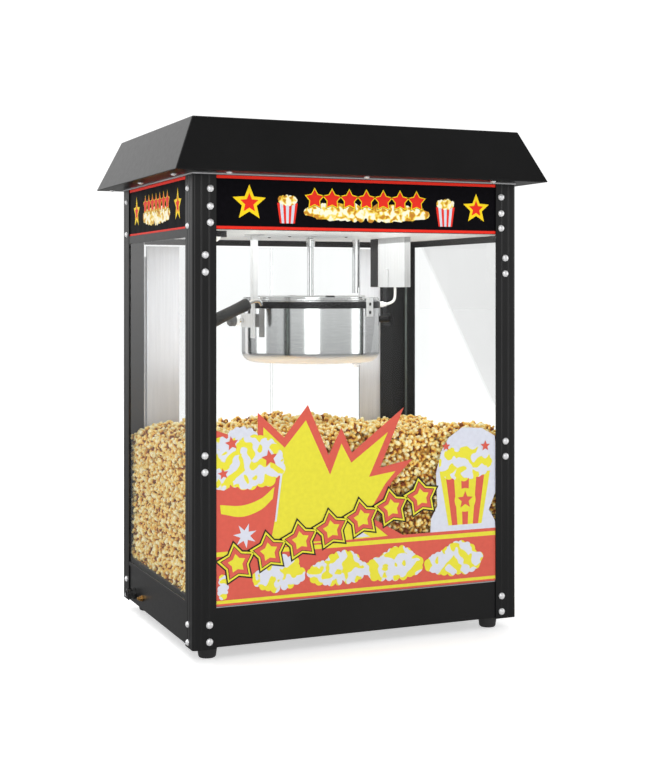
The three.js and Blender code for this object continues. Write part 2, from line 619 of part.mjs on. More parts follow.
// Knuckle stations along the pin, even ones on the post leaf and odd ones on the door.
function knuckles(sign, onDoor) {
  const centre = [sign * DOOR_HINGE_X, DOOR_HINGE_Y];
  const web = onDoor ? [DOOR_HINGE_X - 6.5, DOOR_HINGE_X] : [DOOR_HINGE_X, DOOR_HINGE_X + 5];
  const webX = sign < 0 ? mirrored(web) : web;
  const webLow = onDoor ? SKIN_Y + 1.2 : OUT_Y + GAP;
  const shapes = [];
  for (let index = onDoor ? 1 : 0; index < KNUCKLES; index += 2) {
    const low = KNUCKLE_SPAN[0] + index * KNUCKLE_PITCH + GAP;
    const high = low + KNUCKLE_PITCH - 2 * GAP;
    shapes.push(rod('z', KNUCKLE_R, centre, low, high, 14));
    shapes.push(block([webX[0], webLow, low], [webX[1], DOOR_HINGE_Y, high]));
  }
  return shapes;
}

const STILE_INNER_X = 157;
const DOOR_KNOB_Z = 250;

[-1, 1].forEach((sign) => {
  const side = sideName(sign);
  const span = (low, high) => (sign < 0 ? mirrored([low, high]) : [low, high]);
  const centre = [sign * DOOR_HINGE_X, DOOR_HINGE_Y];
  const stileX = span(STILE_INNER_X, DOOR_HINGE_X - 2);
  const stileY = [SKIN_Y - 4.2, SKIN_Y + 1.6];
  const slotX = span(STILE_INNER_X - 1, 204);
  const slotY = [SKIN_Y - 3, SKIN_Y + 0.6];
  part(`door_stile_${side}`, fuse([
    block([stileX[0], stileY[0], DOOR_BOTTOM], [stileX[1], stileY[1], DOOR_TOP]),
    ...knuckles(sign, true),
  ], [
    block([slotX[0], slotY[0], DOOR_BOTTOM - 1], [slotX[1], slotY[1], DOOR_TOP + 1]),
    rod('z', PIN_R + GAP, centre, KNUCKLE_SPAN[0], KNUCKLE_SPAN[1], 14),
  ]), STAINLESS);
  const panelX = span(2, 203.6);
  part(`door_panel_${side}`, fuse(
    [block([panelX[0], slotY[0] + GAP, DOOR_BOTTOM], [panelX[1], slotY[1] - GAP, DOOR_TOP])],
    [rod('y', 2.6, [sign * 18, DOOR_KNOB_Z], SKIN_Y - 10, SKIN_Y + 10, 12)],
  ), ACRYLIC);
  part(`door_knob_${side}`, fuse([
    rod('y', 2.2, [sign * 18, DOOR_KNOB_Z], SKIN_Y - 5, SKIN_Y + 4, 12),
    rod('y', 5.5, [sign * 18, DOOR_KNOB_Z], SKIN_Y + 0.9, SKIN_Y + 7, 20),
    rod('y', 9, [sign * 18, DOOR_KNOB_Z], SKIN_Y + 6.5, SKIN_Y + 14, 16),
    rod('y', 5, [sign * 18, DOOR_KNOB_Z], SKIN_Y - 6.5, SKIN_Y - 3.3, 12),
  ]), BAKELITE);
  const leafX = span(DOOR_HINGE_X + 3, DOOR_HINGE_X + 26);
  part(`door_hinge_${side}`, fuse([
    block([leafX[0], OUT_Y + GAP, KNUCKLE_SPAN[0]], [leafX[1], OUT_Y + 1.5, KNUCKLE_SPAN[1]]),
    rod('z', PIN_R, centre, KNUCKLE_SPAN[0], KNUCKLE_SPAN[1], 12),
    ...knuckles(sign, false),
  ]), STAINLESS);
});

// ---- Crumb drawer ------------------------------------------------------------------------------------------------
const DRAWER_BACK_Y = SKIN_Y + GAP;
part('crumb_drawer', fuse([
  block([-DRAWER_W / 2, DRAWER_FRONT_Y, DRAWER_Z[0]], [DRAWER_W / 2, DRAWER_BACK_Y + 0.5, DRAWER_Z[1]]),
  block([-DRAWER_W / 2 - 8, DRAWER_BACK_Y, 27], [DRAWER_W / 2 + 8, DRAWER_BACK_Y + 1.5, 65]),
  block([-45, DRAWER_BACK_Y + 1, 44], [45, DRAWER_BACK_Y + 14, 46]),
  block([-45, DRAWER_BACK_Y + 12.5, 40], [45, DRAWER_BACK_Y + 14, 46]),
], [
  block([-DRAWER_W / 2 + WALL, DRAWER_FRONT_Y + WALL, DRAWER_Z[0] + WALL],
    [DRAWER_W / 2 - WALL, DRAWER_BACK_Y - WALL, DRAWER_Z[1] + 1]),
]), STAINLESS);

export default root;
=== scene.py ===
import math
import random

import bmesh
import bpy
import numpy as np
from mathutils import Matrix, Quaternion, Vector


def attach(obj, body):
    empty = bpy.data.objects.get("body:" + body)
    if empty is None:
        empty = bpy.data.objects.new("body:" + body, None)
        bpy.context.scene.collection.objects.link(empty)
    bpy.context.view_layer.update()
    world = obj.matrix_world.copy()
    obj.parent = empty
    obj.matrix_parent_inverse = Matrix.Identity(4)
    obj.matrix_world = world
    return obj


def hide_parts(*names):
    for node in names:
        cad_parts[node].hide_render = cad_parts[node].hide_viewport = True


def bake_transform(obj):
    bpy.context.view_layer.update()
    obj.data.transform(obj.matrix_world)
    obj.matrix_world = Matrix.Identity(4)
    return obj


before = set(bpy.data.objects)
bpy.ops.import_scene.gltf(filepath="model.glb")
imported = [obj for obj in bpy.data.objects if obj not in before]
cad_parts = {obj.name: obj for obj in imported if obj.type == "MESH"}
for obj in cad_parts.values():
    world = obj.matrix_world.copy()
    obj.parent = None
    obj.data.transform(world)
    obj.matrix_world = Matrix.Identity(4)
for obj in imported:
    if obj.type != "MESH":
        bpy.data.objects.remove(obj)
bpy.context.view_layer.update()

# Looks for a countertop popcorn machine. Shapes below are in millimetres, in the frame of the CAD
# model: +Z up, -Y the customer's side. piece() turns them into metres.
MM = 0.001

# ---- Driving dimensions, the same as the frame's ----
OUT_X, OUT_Y = 246.0, 176.0  # over the corner posts
SKIN_X, SKIN_Y = 244.2, 174.2  # outer faces of the panels behind the posts
OPEN_X = 213.0  # half the free width between the front legs of the posts
POST_Z = (17.0, 645.7)
POST_LEGS = (33.0, 32.0)
FLOOR_Z, CEILING_Z = 72.0, 573.0
EAVE_Z, ROOF_Z = 648.0, 722.0
EAVE = (280.0, 210.0)
RIDGE = (247.5, 179.5)
KETTLE_X = -4.0
KETTLE_R = 103.5
TILT_Z = 448.0
SHADE_SLOPE, SHADE_OFFSET = 1.05, 0.447  # the line z = slope * y + offset, in metres, on the right pane, above which its tint is darkened as painted shade
SIDES = ((-1, "left"), (1, "right"))
ENDS = ((-1, "front"), (1, "back"))
CORNERS = ((-1, -1), (1, -1), (1, 1), (-1, 1))


# ---- Shapes: each is a list of points in mm and a list of faces ----
def box(low, high):
    (x0, y0, z0), (x1, y1, z1) = low, high
    points = [(x, y, z) for z in (z0, z1) for y in (y0, y1) for x in (x0, x1)]
    faces = [(0, 2, 3, 1), (4, 5, 7, 6), (0, 1, 5, 4), (2, 6, 7, 3), (0, 4, 6, 2), (1, 3, 7, 5)]
    return points, faces


def arc(centre, radius, start, end, steps):
    """Points on a circle from one angle to another, in degrees."""
    angles = [math.radians(start + (end - start) * i / steps) for i in range(steps + 1)]
    return [(centre[0] + radius * math.cos(a), centre[1] + radius * math.sin(a)) for a in angles]


def hexagon(radius):
    return arc((0, 0), radius, 0, 300, 5)


def on_axis(axis, a, b, along):
    """The point with outline coordinates a, b at a station along an axis."""
    return {"x": (along, a, b), "y": (a, along, b), "z": (a, b, along)}[axis]


def prism(axis, outline, start, end):
    count = len(outline)
    points = [on_axis(axis, a, b, s) for s in (start, end) for a, b in outline]
    faces = [tuple(range(count)), tuple(range(2 * count - 1, count - 1, -1))]
    faces += [(i, (i + 1) % count, count + (i + 1) % count, count + i) for i in range(count)]
    return points, faces


def lathe(profile, centre=(0, 0, 0), axis="z", segments=96):
    """A turned shape. profile holds (radius, height); one that doesn't reach the axis is closed on itself."""
    points, rings = [], []
    for radius, height in profile:
        if radius < 1e-6:
            rings.append([len(points)] * segments)
            points.append((0, 0, height))
            continue
        rings.append([len(points) + i for i in range(segments)])
        for i in range(segments):
            angle = 2 * math.pi * i / segments
            points.append((radius * math.cos(angle), radius * math.sin(angle), height))
    pairs = list(zip(rings, rings[1:]))
    if profile[0][0] > 1e-6 and profile[-1][0] > 1e-6:
        pairs.append((rings[-1], rings[0]))
    faces = []
    for lower, upper in pairs:
        for i in range(segments):
            j = (i + 1) % segments
            corners = (lower[i], lower[j], upper[j], upper[i])
            face = tuple(dict.fromkeys(corners))
            if len(face) > 2:
                faces.append(face)
    turn = {"x": lambda p: (p[2], p[0], p[1]), "y": lambda p: (p[1], p[2], p[0]), "z": lambda p: p}[axis]
    return [tuple(c + o for c, o in zip(turn(p), centre)) for p in points], faces


def turned(profile, *where, **more):
    """A solid turned shape, closed to the axis at both ends."""
    return lathe([(0, profile[0][1]), *profile, (0, profile[-1][1])], *where, **more)


def spline(points, per_span):
    """A smooth line through the points (Catmull-Rom)."""
    ends = [Vector(points[0]) * 2 - Vector(points[1]), Vector(points[-1]) * 2 - Vector(points[-2])]
    knots = [ends[0], *map(Vector, points), ends[1]]
    line = []
    for a, b, c, d in zip(knots, knots[1:], knots[2:], knots[3:]):
        for step in range(per_span):
            t = step / per_span
            line.append(0.5 * (2 * b + (c - a) * t + (2 * a - 5 * b + 4 * c - d) * t * t
                               + (3 * b - a - 3 * c + d) * t ** 3))
    return line + [knots[-2]]


def tube(points, radius, sides=16, per_span=6):
    line = spline(points, per_span)
    across = Vector((0.3, 0.5, 0.8))
    rings, count = [], len(line)
    for index, point in enumerate(line):
        along = (line[min(index + 1, count - 1)] - line[max(index - 1, 0)]).normalized()
        across = (across - along * across.dot(along)).normalized()
        other = along.cross(across)
        rings += [point + (across * math.cos(a) + other * math.sin(a)) * radius
                  for a in (2 * math.pi * i / sides for i in range(sides))]
    faces = [tuple(range(sides - 1, -1, -1)), tuple(range((count - 1) * sides, count * sides))]
    for ring in range(count - 1):
        for i in range(sides):
            j = (i + 1) % sides
            base = ring * sides
            faces.append((base + i, base + j, base + sides + j, base + sides + i))
    return [tuple(p) for p in rings], faces


def moved(shape, matrix):
    return [tuple(matrix @ Vector(p)) for p in shape[0]], shape[1]


def place(x, y, z):
    return Matrix.Translation((x, y, z))


def all_in(material, *shapes):
    return [(material, shape) for shape in shapes]


def in_scene(name, data):
    """A new object in the scene."""
    obj = bpy.data.objects.new(name, data)
    bpy.context.scene.collection.objects.link(obj)
    return obj


def piece(name, body, shapes, replaces=(), bevel=0.0, sharp=32):
    """One object from (material, shape) pairs, riding on a CAD body."""
    points, faces, indices, materials = [], [], [], []
    for material, (shape_points, shape_faces) in shapes:
        if material not in materials:
            materials.append(material)
        base = len(points)
        points += [Vector(p) * MM for p in shape_points]
        faces += [[base + i for i in face] for face in shape_faces]
        indices += [materials.index(material)] * len(shape_faces)
    mesh = bpy.data.meshes.new(name)
    mesh.from_pydata(points, [], faces)
    for material in materials:
        mesh.materials.append(material)
    mesh.polygons.foreach_set("material_index", indices)
    work = bmesh.new()
    work.from_mesh(mesh)
    bmesh.ops.recalc_face_normals(work, faces=work.faces)
    work.to_mesh(mesh)
    work.free()
    mesh.shade_smooth()
    obj = in_scene(name, mesh)
    if bevel:
        edges = obj.modifiers.new("edges", "BEVEL")
        edges.width = bevel * MM
        edges.segments = 3
        edges.limit_method = "ANGLE"
        edges.angle_limit = math.radians(sharp)
        edges.harden_normals = True
    else:
        mesh.set_sharp_from_angle(angle=math.radians(sharp))
    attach(obj, body)
    if replaces:
        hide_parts(*replaces)
    return obj


# ---- Materials ----
class Nodes:
    """A node tree, with a method for each step that the looks are made of."""

    def __init__(self, tree):
        self.tree = tree

    def node(self, kind, **settings):
        made = self.tree.nodes.new(kind)
        for key, value in settings.items():
            setattr(made, key, value)
        return made

    def link(self, source, target):
        self.tree.links.new(source, target)

    def calculate(self, operation, *operands):
        """A Math node on sockets and numbers."""
        made = self.node("ShaderNodeMath", operation=operation)
        for socket, operand in zip(made.inputs, operands):
            if isinstance(operand, (int, float)):
                socket.default_value = operand
            else:
                self.link(operand, socket)
        return made.outputs[0]

    def parts(self, vector):
        split = self.node("ShaderNodeSeparateXYZ")
        self.link(vector, split.inputs["Vector"])
        return split.outputs

    def mix(self, factor, low, high):
        """From the colour low at 0 to the colour high at 1."""
        made = self.node("ShaderNodeMix", data_type="RGBA")
        for socket, source in (("Factor", factor), ("A", low), ("B", high)):
            self.link(source, made.inputs[socket])
        return made.outputs["Result"]

    def either(self, factor, low, high):
        """From the shader low at 0 to the shader high at 1."""
        made = self.node("ShaderNodeMixShader")
        for socket, source in zip(made.inputs, (factor, low, high)):
            self.link(source, socket)
        return made.outputs["Shader"]

    def spread(self, value, low, high, start=0.3, end=0.7):
        """The value's range start..end, spread over low..high."""
        made = self.node("ShaderNodeMapRange")
        for socket, number in zip(("From Min", "From Max", "To Min", "To Max"), (start, end, low, high)):
            made.inputs[socket].default_value = number
        self.link(value, made.inputs["Value"])
        return made.outputs["Result"]

    def colours(self, value, *stops):
        """A colour ramp; stops are (position, (r, g, b))."""
        node = self.node("ShaderNodeValToRGB")
        ramp = node.color_ramp
        while len(ramp.elements) < len(stops):
            ramp.elements.new(0.5)
        for element, (position, colour) in zip(ramp.elements, stops):
            element.position = position
            element.color = (*colour, 1)
        self.link(value, node.inputs["Fac"])
        return node.outputs["Color"]


class Surface(Nodes):
    """A node material round one Principled shader. Constants go on the shader's own sockets."""

    def __init__(self, name, **sockets):
        self.material = bpy.data.materials.new(name)
        self.material.use_nodes = True
        super().__init__(self.material.node_tree)
        self.shader = self.tree.nodes["Principled BSDF"]
        for socket, value in sockets.items():
            self.shader.inputs[socket.replace("_", " ")].default_value = value

    def place(self, stretch=(1, 1, 1), source="Object"):
        mapping = self.node("ShaderNodeMapping")
        mapping.inputs["Scale"].default_value = stretch
        self.link(self.node("ShaderNodeTexCoord").outputs[source], mapping.inputs["Vector"])
        return mapping.outputs["Vector"]

    def noise(self, scale, detail=3.0, stretch=(1, 1, 1), distortion=0.0):
        """Noise with so many bumps per metre."""
        made = self.node("ShaderNodeTexNoise")
        made.inputs["Scale"].default_value = scale
        made.inputs["Detail"].default_value = detail
        made.inputs["Distortion"].default_value = distortion
        self.link(self.place(stretch), made.inputs["Vector"])
        return made.outputs["Fac"]

    def blend(self, value, low, high):
        self.link(self.colours(value, (0.35, low), (0.65, high)), self.shader.inputs["Base Color"])

    def rough(self, value, low, high):
        self.link(self.spread(value, low, high), self.shader.inputs["Roughness"])

    def relief(self, value, depth):
        """Bumps of about this depth in mm."""
        made = self.node("ShaderNodeBump")
        made.inputs["Distance"].default_value = depth * MM
        self.link(value, made.inputs["Height"])
        self.link(made.outputs["Normal"], self.shader.inputs["Normal"])
        return self


def grey(level):
    return (level,) * 3


def dimmed(colour, share):
    return tuple(c * share for c in colour)


def coat(name, colours, roughness, tones, sheen, grain, depth, **sockets):
    """Colour, roughness and relief, each after a noise."""
    look = Surface(name, **sockets)
    look.blend(look.noise(*tones), *colours)
    look.rough(look.noise(*sheen), *roughness)
    return look.relief(look.noise(*grain), depth).material


def painted(name, dark, light, roughness):
    """Powder coat, with its fine orange peel."""
    return coat(name, (dark, light), (roughness - 0.015, roughness + 0.02), (9, 4), (140, 4),
                (900, 2), 0.006, IOR=1.42)


def metal(name, dark, light, low, high, stretch, depth=0.004):
    """Metal with fine lines; stretch is small along the lines."""
    lines = (1, 5, stretch)
    return coat(name, (dark, light), (low, high), lines, (30, 5), lines, depth, Metallic=1.0)


def pale_metal(name, dark, light, metallic, stretch):
    """A pale metal coat that scatters more light than it mirrors."""
    return coat(name, (dark, light), (0.34, 0.46), (1, 4, stretch), (30, 4), (1, 3, stretch), 0.003,
                Metallic=metallic, IOR=1.5)


def moulded(name, dark, light, roughness, grain=700, depth=0.03):
    return coat(name, (dark, light), (roughness - 0.06, roughness + 0.06), (25, 4), (60, 4),
                (grain, 3), depth, IOR=1.5)


def printed(name, colour, ink=0.06, roughness=0.42, gloss=0.5):
    """Ink on film: a faint unevenness of the ink, and a fine film texture."""
    return coat(name, (dimmed(colour, 1 - ink), colour), (roughness - 0.04, roughness + 0.05), (160, 4),
                (50, 3), (1500, 2), 0.01, IOR=1.4, Specular_IOR_Level=gloss)


def polished_pot(rim, base):
    """Polished steel, turning to a paler satin between the heights rim and base, in metres."""
    look = Surface("polished_pot")
    lines = look.noise(1, 5, (40, 40, 1400))
    look.blend(lines, (0.84, 0.845, 0.85), (0.92, 0.925, 0.93))
    height = look.parts(look.place())["Z"]
    look.link(look.spread(height, 0.76, 1.0, base, rim), look.shader.inputs["Metallic"])
    look.link(look.spread(height, 0.5, 0.13, base, rim), look.shader.inputs["Roughness"])
    return look.relief(lines, 0.002).material


def pane(name, face_axis, tint, edge, gloss=1.0, shade=None):
    """Clear sheet: see-through with Fresnel gloss, and a tinted body seen at its cut edges.

    shade is (slope, offset, tint): painted shade, so an X-facing pane's tint is darker where z > slope * y +
    offset, in metres.
    """
    look = Surface(name, Roughness=0.25, IOR=1.5)
    look.blend(look.noise(120, 3), dimmed(edge, 0.85), edge)
    smear = look.noise(6, 4)
    body = look.colours(smear, (0.3, dimmed(tint, 0.985)), (0.7, tint))
    if shade:
        slope, offset, darker = shade
        where = look.parts(look.place())
        above = look.calculate("ADD", look.calculate("MULTIPLY_ADD", where["Y"], -slope, -offset), where["Z"])
        shaded = look.colours(smear, (0.3, dimmed(darker, 0.98)), (0.7, darker))
        body = look.mix(look.spread(above, 0, 1, -0.001, 0.001), body, shaded)
    clear = look.node("ShaderNodeBsdfTransparent")
    look.link(body, clear.inputs["Color"])
    shine = look.node("ShaderNodeBsdfGlossy")
    look.link(look.spread(smear, 0.012, 0.03), shine.inputs["Roughness"])
    fresnel = look.node("ShaderNodeFresnel")
    fresnel.inputs["IOR"].default_value = 1.0 + 0.4 * gloss
    # Only the faces turned towards the viewer shine.
    outside = look.calculate("SUBTRACT", 1.0, look.node("ShaderNodeNewGeometry").outputs["Backfacing"])
    sheen = look.calculate("MULTIPLY", fresnel.outputs["Fac"], outside)
    face = look.either(sheen, clear.outputs["BSDF"], shine.outputs["BSDF"])
    across = look.calculate("ABSOLUTE", look.parts(look.place(source="Normal"))[face_axis])
    is_face = look.calculate("GREATER_THAN", across, 0.7)
    whole = look.either(is_face, look.shader.outputs["BSDF"], face)
    look.link(whole, look.tree.nodes["Material Output"].inputs["Surface"])
    return look.material


def printed_popcorn(name, scale, *stops):
    """A print of popcorn: rounded blobs of a few flat inks."""
    look = Surface(name, Roughness=0.42, IOR=1.4)
    blobs = look.noise(scale, 0.6, distortion=0.35)
    look.link(look.colours(blobs, *stops), look.shader.inputs["Base Color"])
    return look.relief(look.noise(1500, 2), 0.01).material


BLACK = painted("black_powder_coat", (0.0034, 0.0034, 0.0036), (0.0054, 0.0054, 0.0057), 0.32)
ROOF_BLACK = painted("roof_powder_coat", (0.0026, 0.0026, 0.0027), (0.0042, 0.0042, 0.0044), 0.325)
STAINLESS = metal("brushed_stainless", (0.72, 0.72, 0.725), (0.8, 0.8, 0.805), 0.34, 0.4,
                  (12, 700, 700), 0.001)
STAINLESS_UP = metal("stainless_brushed_upright", (0.74, 0.74, 0.745), (0.82, 0.82, 0.825), 0.32, 0.38,
                     (700, 700, 12), 0.001)
POLISHED = metal("polished_steel", (0.84, 0.845, 0.85), (0.92, 0.925, 0.93), 0.1, 0.17, (40, 40, 1400), 0.002)
# The top plate's flat dark grey is painted shade under the eaves.
PLATE_PAINTED_SHADE = pale_metal("top_plate_painted_shade", (0.3, 0.3, 0.305), (0.36, 0.36, 0.365), 0.0, (400, 8, 400))
# A darker copy of the bright channel metal, for the channel's folded edge: painted shade.
FOLD_PAINTED_SHADE = pale_metal("fold_painted_shade", grey(0.33), grey(0.39), 0.2, (300, 300, 6))
BRIGHT = pale_metal("bright_channel", grey(0.62), grey(0.7), 0.35, (300, 300, 6))
GALVANISED = pale_metal("galvanised_sheet", (0.82, 0.82, 0.815), (0.9, 0.9, 0.895), 0.1, (40, 40, 40))
ANODISED = pale_metal("anodised_stile", (0.6, 0.61, 0.64), (0.67, 0.68, 0.71), 0.0, (400, 400, 8))
DARK_STEEL = metal("blackened_steel", (0.03, 0.03, 0.031), (0.06, 0.06, 0.062), 0.32, 0.48, (300, 300, 300))
SCREW_STEEL = pale_metal("screw_steel", (0.8, 0.8, 0.81), (0.88, 0.88, 0.89), 0.55, (300, 300, 300))
RUBBER = moulded("black_rubber", grey(0.012), grey(0.022), 0.42, 500, 0.02)
NYLON_BLACK = moulded("black_nylon", grey(0.008), grey(0.014), 0.22, 300, 0.01)
BAKELITE = moulded("black_bakelite", grey(0.012), grey(0.022), 0.36)
GREY_KNOB = moulded("grey_knob", grey(0.1), grey(0.14), 0.4)
WHITE_NYLON = moulded("white_nylon", (0.72, 0.72, 0.7), (0.82, 0.82, 0.8), 0.45)
SWITCH_RED = moulded("switch_red", (0.42, 0.012, 0.01), (0.6, 0.025, 0.02), 0.25)
SILICONE = moulded("white_silicone", (0.68, 0.67, 0.64), (0.8, 0.79, 0.76), 0.5, 900, 0.02)
BRASS = metal("brass", (0.42, 0.22, 0.06), (0.6, 0.36, 0.12), 0.3, 0.42, (500, 500, 500))
OPAL = moulded("opal_lens", (0.86, 0.85, 0.8), (0.93, 0.92, 0.88), 0.3, 300, 0.02)
SIGN_BLACK = printed("sign_black", (0.0035, 0.003, 0.0045), 0.25, 0.5, 0.06)
SIGN_RED = printed("sign_red", (0.72, 0.025, 0.012), gloss=0.2)
SIGN_YELLOW = printed("sign_yellow", (0.85, 0.6, 0.01), gloss=0.2)
DECAL_RED = printed("decal_red", (0.62, 0.092, 0.06))
DECAL_YELLOW = printed("decal_yellow", (0.7, 0.64, 0.03))
DECAL_WHITE = printed("decal_white", (0.6, 0.62, 0.7))
DECAL_DARK = printed("decal_dark", (0.02, 0.018, 0.015), 0.2)
GLASS_Y = pane("glass_across_y", "Y", (0.985, 0.992, 0.99), (0.55, 0.66, 0.63))
GLASS_X = pane("glass_across_x", "X", (0.975, 0.98, 0.98), (0.55, 0.66, 0.63), 1.35)
# The right pane's tint is darkened above a sloping line: painted shade.
GLASS_RIGHT = pane("glass_right_side", "X", (0.995, 0.997, 0.996), (0.16, 0.19, 0.18), 1.0,
                   (SHADE_SLOPE, SHADE_OFFSET, (0.886, 0.885, 0.885)))
DECAL_POPCORN = printed_popcorn("decal_popcorn", 75, (0.5, (0.6, 0.62, 0.7)), (0.525, (0.7, 0.64, 0.03)))
SIGN_POPCORN = printed_popcorn("sign_popcorn", 170, (0.34, (0.5, 0.2, 0.01)), (0.42, (0.75, 0.5, 0.02)),
                               (0.5, (0.85, 0.7, 0.2)), (0.56, (0.85, 0.8, 0.62)))
ACRYLIC = pane("clear_acrylic", "Y", (0.965, 0.968, 0.968), (0.84, 0.87, 0.87), 0.8)


def popcorn_look():
    """Cream lobes, golden creases and a few brown hulls, from how far out each point of a kernel lies."""
    look = Surface("popcorn", IOR=1.4)
    puff = look.node("ShaderNodeAttribute", attribute_name="puff")
    speckled = look.calculate("MULTIPLY_ADD", look.noise(260, 3), 0.35, puff.outputs["Fac"])
    shade = look.colours(speckled, (0.22, (0.2, 0.045, 0.003)), (0.34, (0.66, 0.26, 0.018)),
                         (0.54, (0.88, 0.52, 0.09)), (0.8, (0.94, 0.75, 0.28)), (1.0, (0.97, 0.9, 0.58)))
    look.link(shade, look.shader.inputs["Base Color"])
    look.rough(look.noise(90, 3), 0.5, 0.68)
    return look.relief(look.noise(900, 4), 0.25).material


POPCORN = popcorn_look()


# ---- Carried-over CAD nodes ----
def dress(material, *names):
    for name in names:
        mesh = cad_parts[name].data
        mesh.materials.clear()
        mesh.materials.append(material)


dress(BLACK, "base_walls", "bottom_plate", "rail_left", "rail_right", "rail_back", "back_panel")
dress(STAINLESS, "cabinet_floor", "crumb_drawer", "stirrer_blade")
dress(PLATE_PAINTED_SHADE, "top_plate")
dress(GALVANISED, "ceiling_plate")
dress(ANODISED, "door_stile_left", "door_stile_right")
dress(STAINLESS_UP, "door_hinge_left", "door_hinge_right")
dress(BRIGHT, "hanger_left", "hanger_right")
dress(DARK_STEEL, "gear_motor", "heating_ring", "lamp_holder")
dress(GLASS_Y, "glass_front")
dress(GLASS_X, "glass_left")
dress(GLASS_RIGHT, "glass_right")
dress(ACRYLIC, "door_panel_left", "door_panel_right")
dress(SIGN_BLACK, "sign_front", "sign_left", "sign_right")
dress(SWITCH_RED, "rocker_light", "rocker_heat", "rocker_stir")


# ---- Corner posts: pressed angles with a round corner and two grooves a leg ----
def post_outline(sign_x, sign_y):
    """The section of one post, from the end of its front leg round to the end of its side leg."""
    radius, sheet, depth, half = 4.0, 1.5, 0.4, 1.2
    grooves = []
    for at in (12.0, 23.0):
        grooves += [(at - half, 0), (at - half * 0.45, depth * 0.8), (at, depth),
                    (at + half * 0.45, depth * 0.8), (at + half, 0)]
    outline = [(POST_LEGS[0], 0), *grooves[::-1], *arc((radius, radius), radius, -90, -180, 12)]
    outline += [*((b, a) for a, b in grooves), (0, POST_LEGS[1]), (sheet, POST_LEGS[1])]
    outline += [*arc((radius, radius), radius - sheet, -180, -90, 8), (POST_LEGS[0], sheet)]
    return [(sign_x * (OUT_X - a), sign_y * (OUT_Y - b)) for a, b in outline]


for sign_y, end in ENDS:
    for sign_x, side in SIDES:
        node = f"post_{end}_{side}"
        post = prism("z", post_outline(sign_x, sign_y), *POST_Z)
        piece(f"corner_{node}", "root", [(BLACK, post)], [node], sharp=24)


# ---- Roof: folded hip with a soft ridge and a plain underside ----
def roof_shape():
    points = [(sx * EAVE[0], sy * EAVE[1], EAVE_Z) for sx, sy in CORNERS]
    points += [(sx * RIDGE[0], sy * RIDGE[1], ROOF_Z) for sx, sy in CORNERS]
    faces = [(3, 2, 1, 0), (4, 5, 6, 7)] + [(i, (i + 1) % 4, 4 + (i + 1) % 4, 4 + i) for i in range(4)]
    return points, faces


piece("roof_hood", "root", [(ROOF_BLACK, roof_shape())], ["roof"], bevel=1.6, sharp=20)


# ---- Screws ----
def dome_screw(at, axis, sign, radius=4.9, height=3.2):
    """A plain dome head, pointing out along sign * axis."""
    dome = [(radius * a, height * b) for a, b in arc((0, 0), 1, 0, 90, 8)[:-1]]
    profile = [(0, -0.2), (radius, -0.2), *dome, (0, height)]
    return lathe([(r, sign * h) for r, h in profile], at, axis, 20)


FRONT_SCREWS = ((221.5, 627), (221.5, 603.5), (221.5, 582), (228.5, 539), (228.5, 516.4),
                (229, 273.5), (229, 251.5), (222.5, 49.5), (222.5, 27))
SIDE_SCREWS = ((155, 628), (155, 578), (155, 48), (155, 24))
HINGE_LOW, HINGE_HIGH = 85, 550
post_screws = []
for sign_x, sign_y in CORNERS:
    for x, z in FRONT_SCREWS:
        # At the back the hinge leaves take the middle ones' place.
        if sign_y < 0 or not HINGE_LOW < z < HINGE_HIGH:
            post_screws.append(dome_screw((sign_x * x, sign_y * OUT_Y, z), "y", sign_y))
    for y, z in SIDE_SCREWS:
        post_screws.append(dome_screw((sign_x * OUT_X, sign_y * y, z), "x", sign_x, radius=4.2))
piece("post_screws", "root", all_in(SCREW_STEEL, *post_screws))

under_roof = [(sx * 259, y) for y in (-134, 29, 192) for sx in (-1, 1)]
under_roof += [(x, sy * 190) for x in (-200, 0, 200) for sy in (-1, 1)]
roof_screws = [dome_screw((x, y, EAVE_Z), "z", -1, radius=4.2, height=2.2) for x, y in under_roof]
piece("roof_screws", "root", all_in(SCREW_STEEL, *roof_screws))

rivets = [dome_screw((x, y, CEILING_Z), "z", -1, radius=2.4, height=1.2)
          for x, y in ((-95, -21), (-50, 53), (-37, 2), (52, -6))]
piece("ceiling_rivets", "root", all_in(DARK_STEEL, *rivets))


# ---- Feet, gland and earth terminal ----
for sign_y, end in ENDS:
    for sign_x, side in SIDES:
        node = f"foot_{end}_{side}"
        profile = [(0, 5), (3.5, 5), (3.5, 0.3), (4.2, 0), (10.4, 0), (11.2, 0.5), (12, 2), (13.4, 12),
                   (14, 14.5), (14, 18), (0, 18)]
        foot = lathe(profile, (sign_x * 216, sign_y * 146, 0), segments=48)
        piece(f"rubber_{node}", "root", [(RUBBER, foot)], [node])

GLAND = (-SKIN_X, 116.0, 34.0)
gland_nut = moved(prism("x", hexagon(9.4), -4.3, -0.3), place(*GLAND))
gland_cap = lathe([(3.6, 10), (3.6, -12.4), (4.2, -13), (6.2, -13), (7, -12), (7.2, -9), (7.2, -4), (6, -3.6),
                   (6, 10)], GLAND, "x", 40)
rib = box((-12, 7.0, -0.6), (-5, 7.7, 0.6))
ribs = [moved(rib, place(*GLAND) @ Matrix.Rotation(math.pi / 6 * i, 4, "X")) for i in range(12)]
piece("gland_body", "root", all_in(NYLON_BLACK, gland_nut, gland_cap, *ribs),
      ["cable_gland"], sharp=30)
EARTH = (-SKIN_X, 72.0, 35.0)
earth_washer = turned([(4.6, -1.6), (4.6, -0.3)], EARTH, "x", 32)
earth_nut = moved(prism("x", hexagon(4), -5, -1.6), place(*EARTH))
earth_bolt = turned([(1.8, -8), (2.2, -7.5), (2.2, 6)], EARTH, "x", 24)
piece("earth_stud", "root", all_in(BRASS, earth_washer, earth_nut, earth_bolt), ["earth_terminal"])


# ---- Lamp ----
LAMP = (-200.0, -120.0, 0.0)
lens = [(0, 557), *arc((0, 570), 13, -84, -22, 8), (13, 572.7), (0, 572.7)]
piece("lamp_bulb", "root", [(OPAL, lathe(lens, LAMP, segments=48))], ["lamp_lens"])


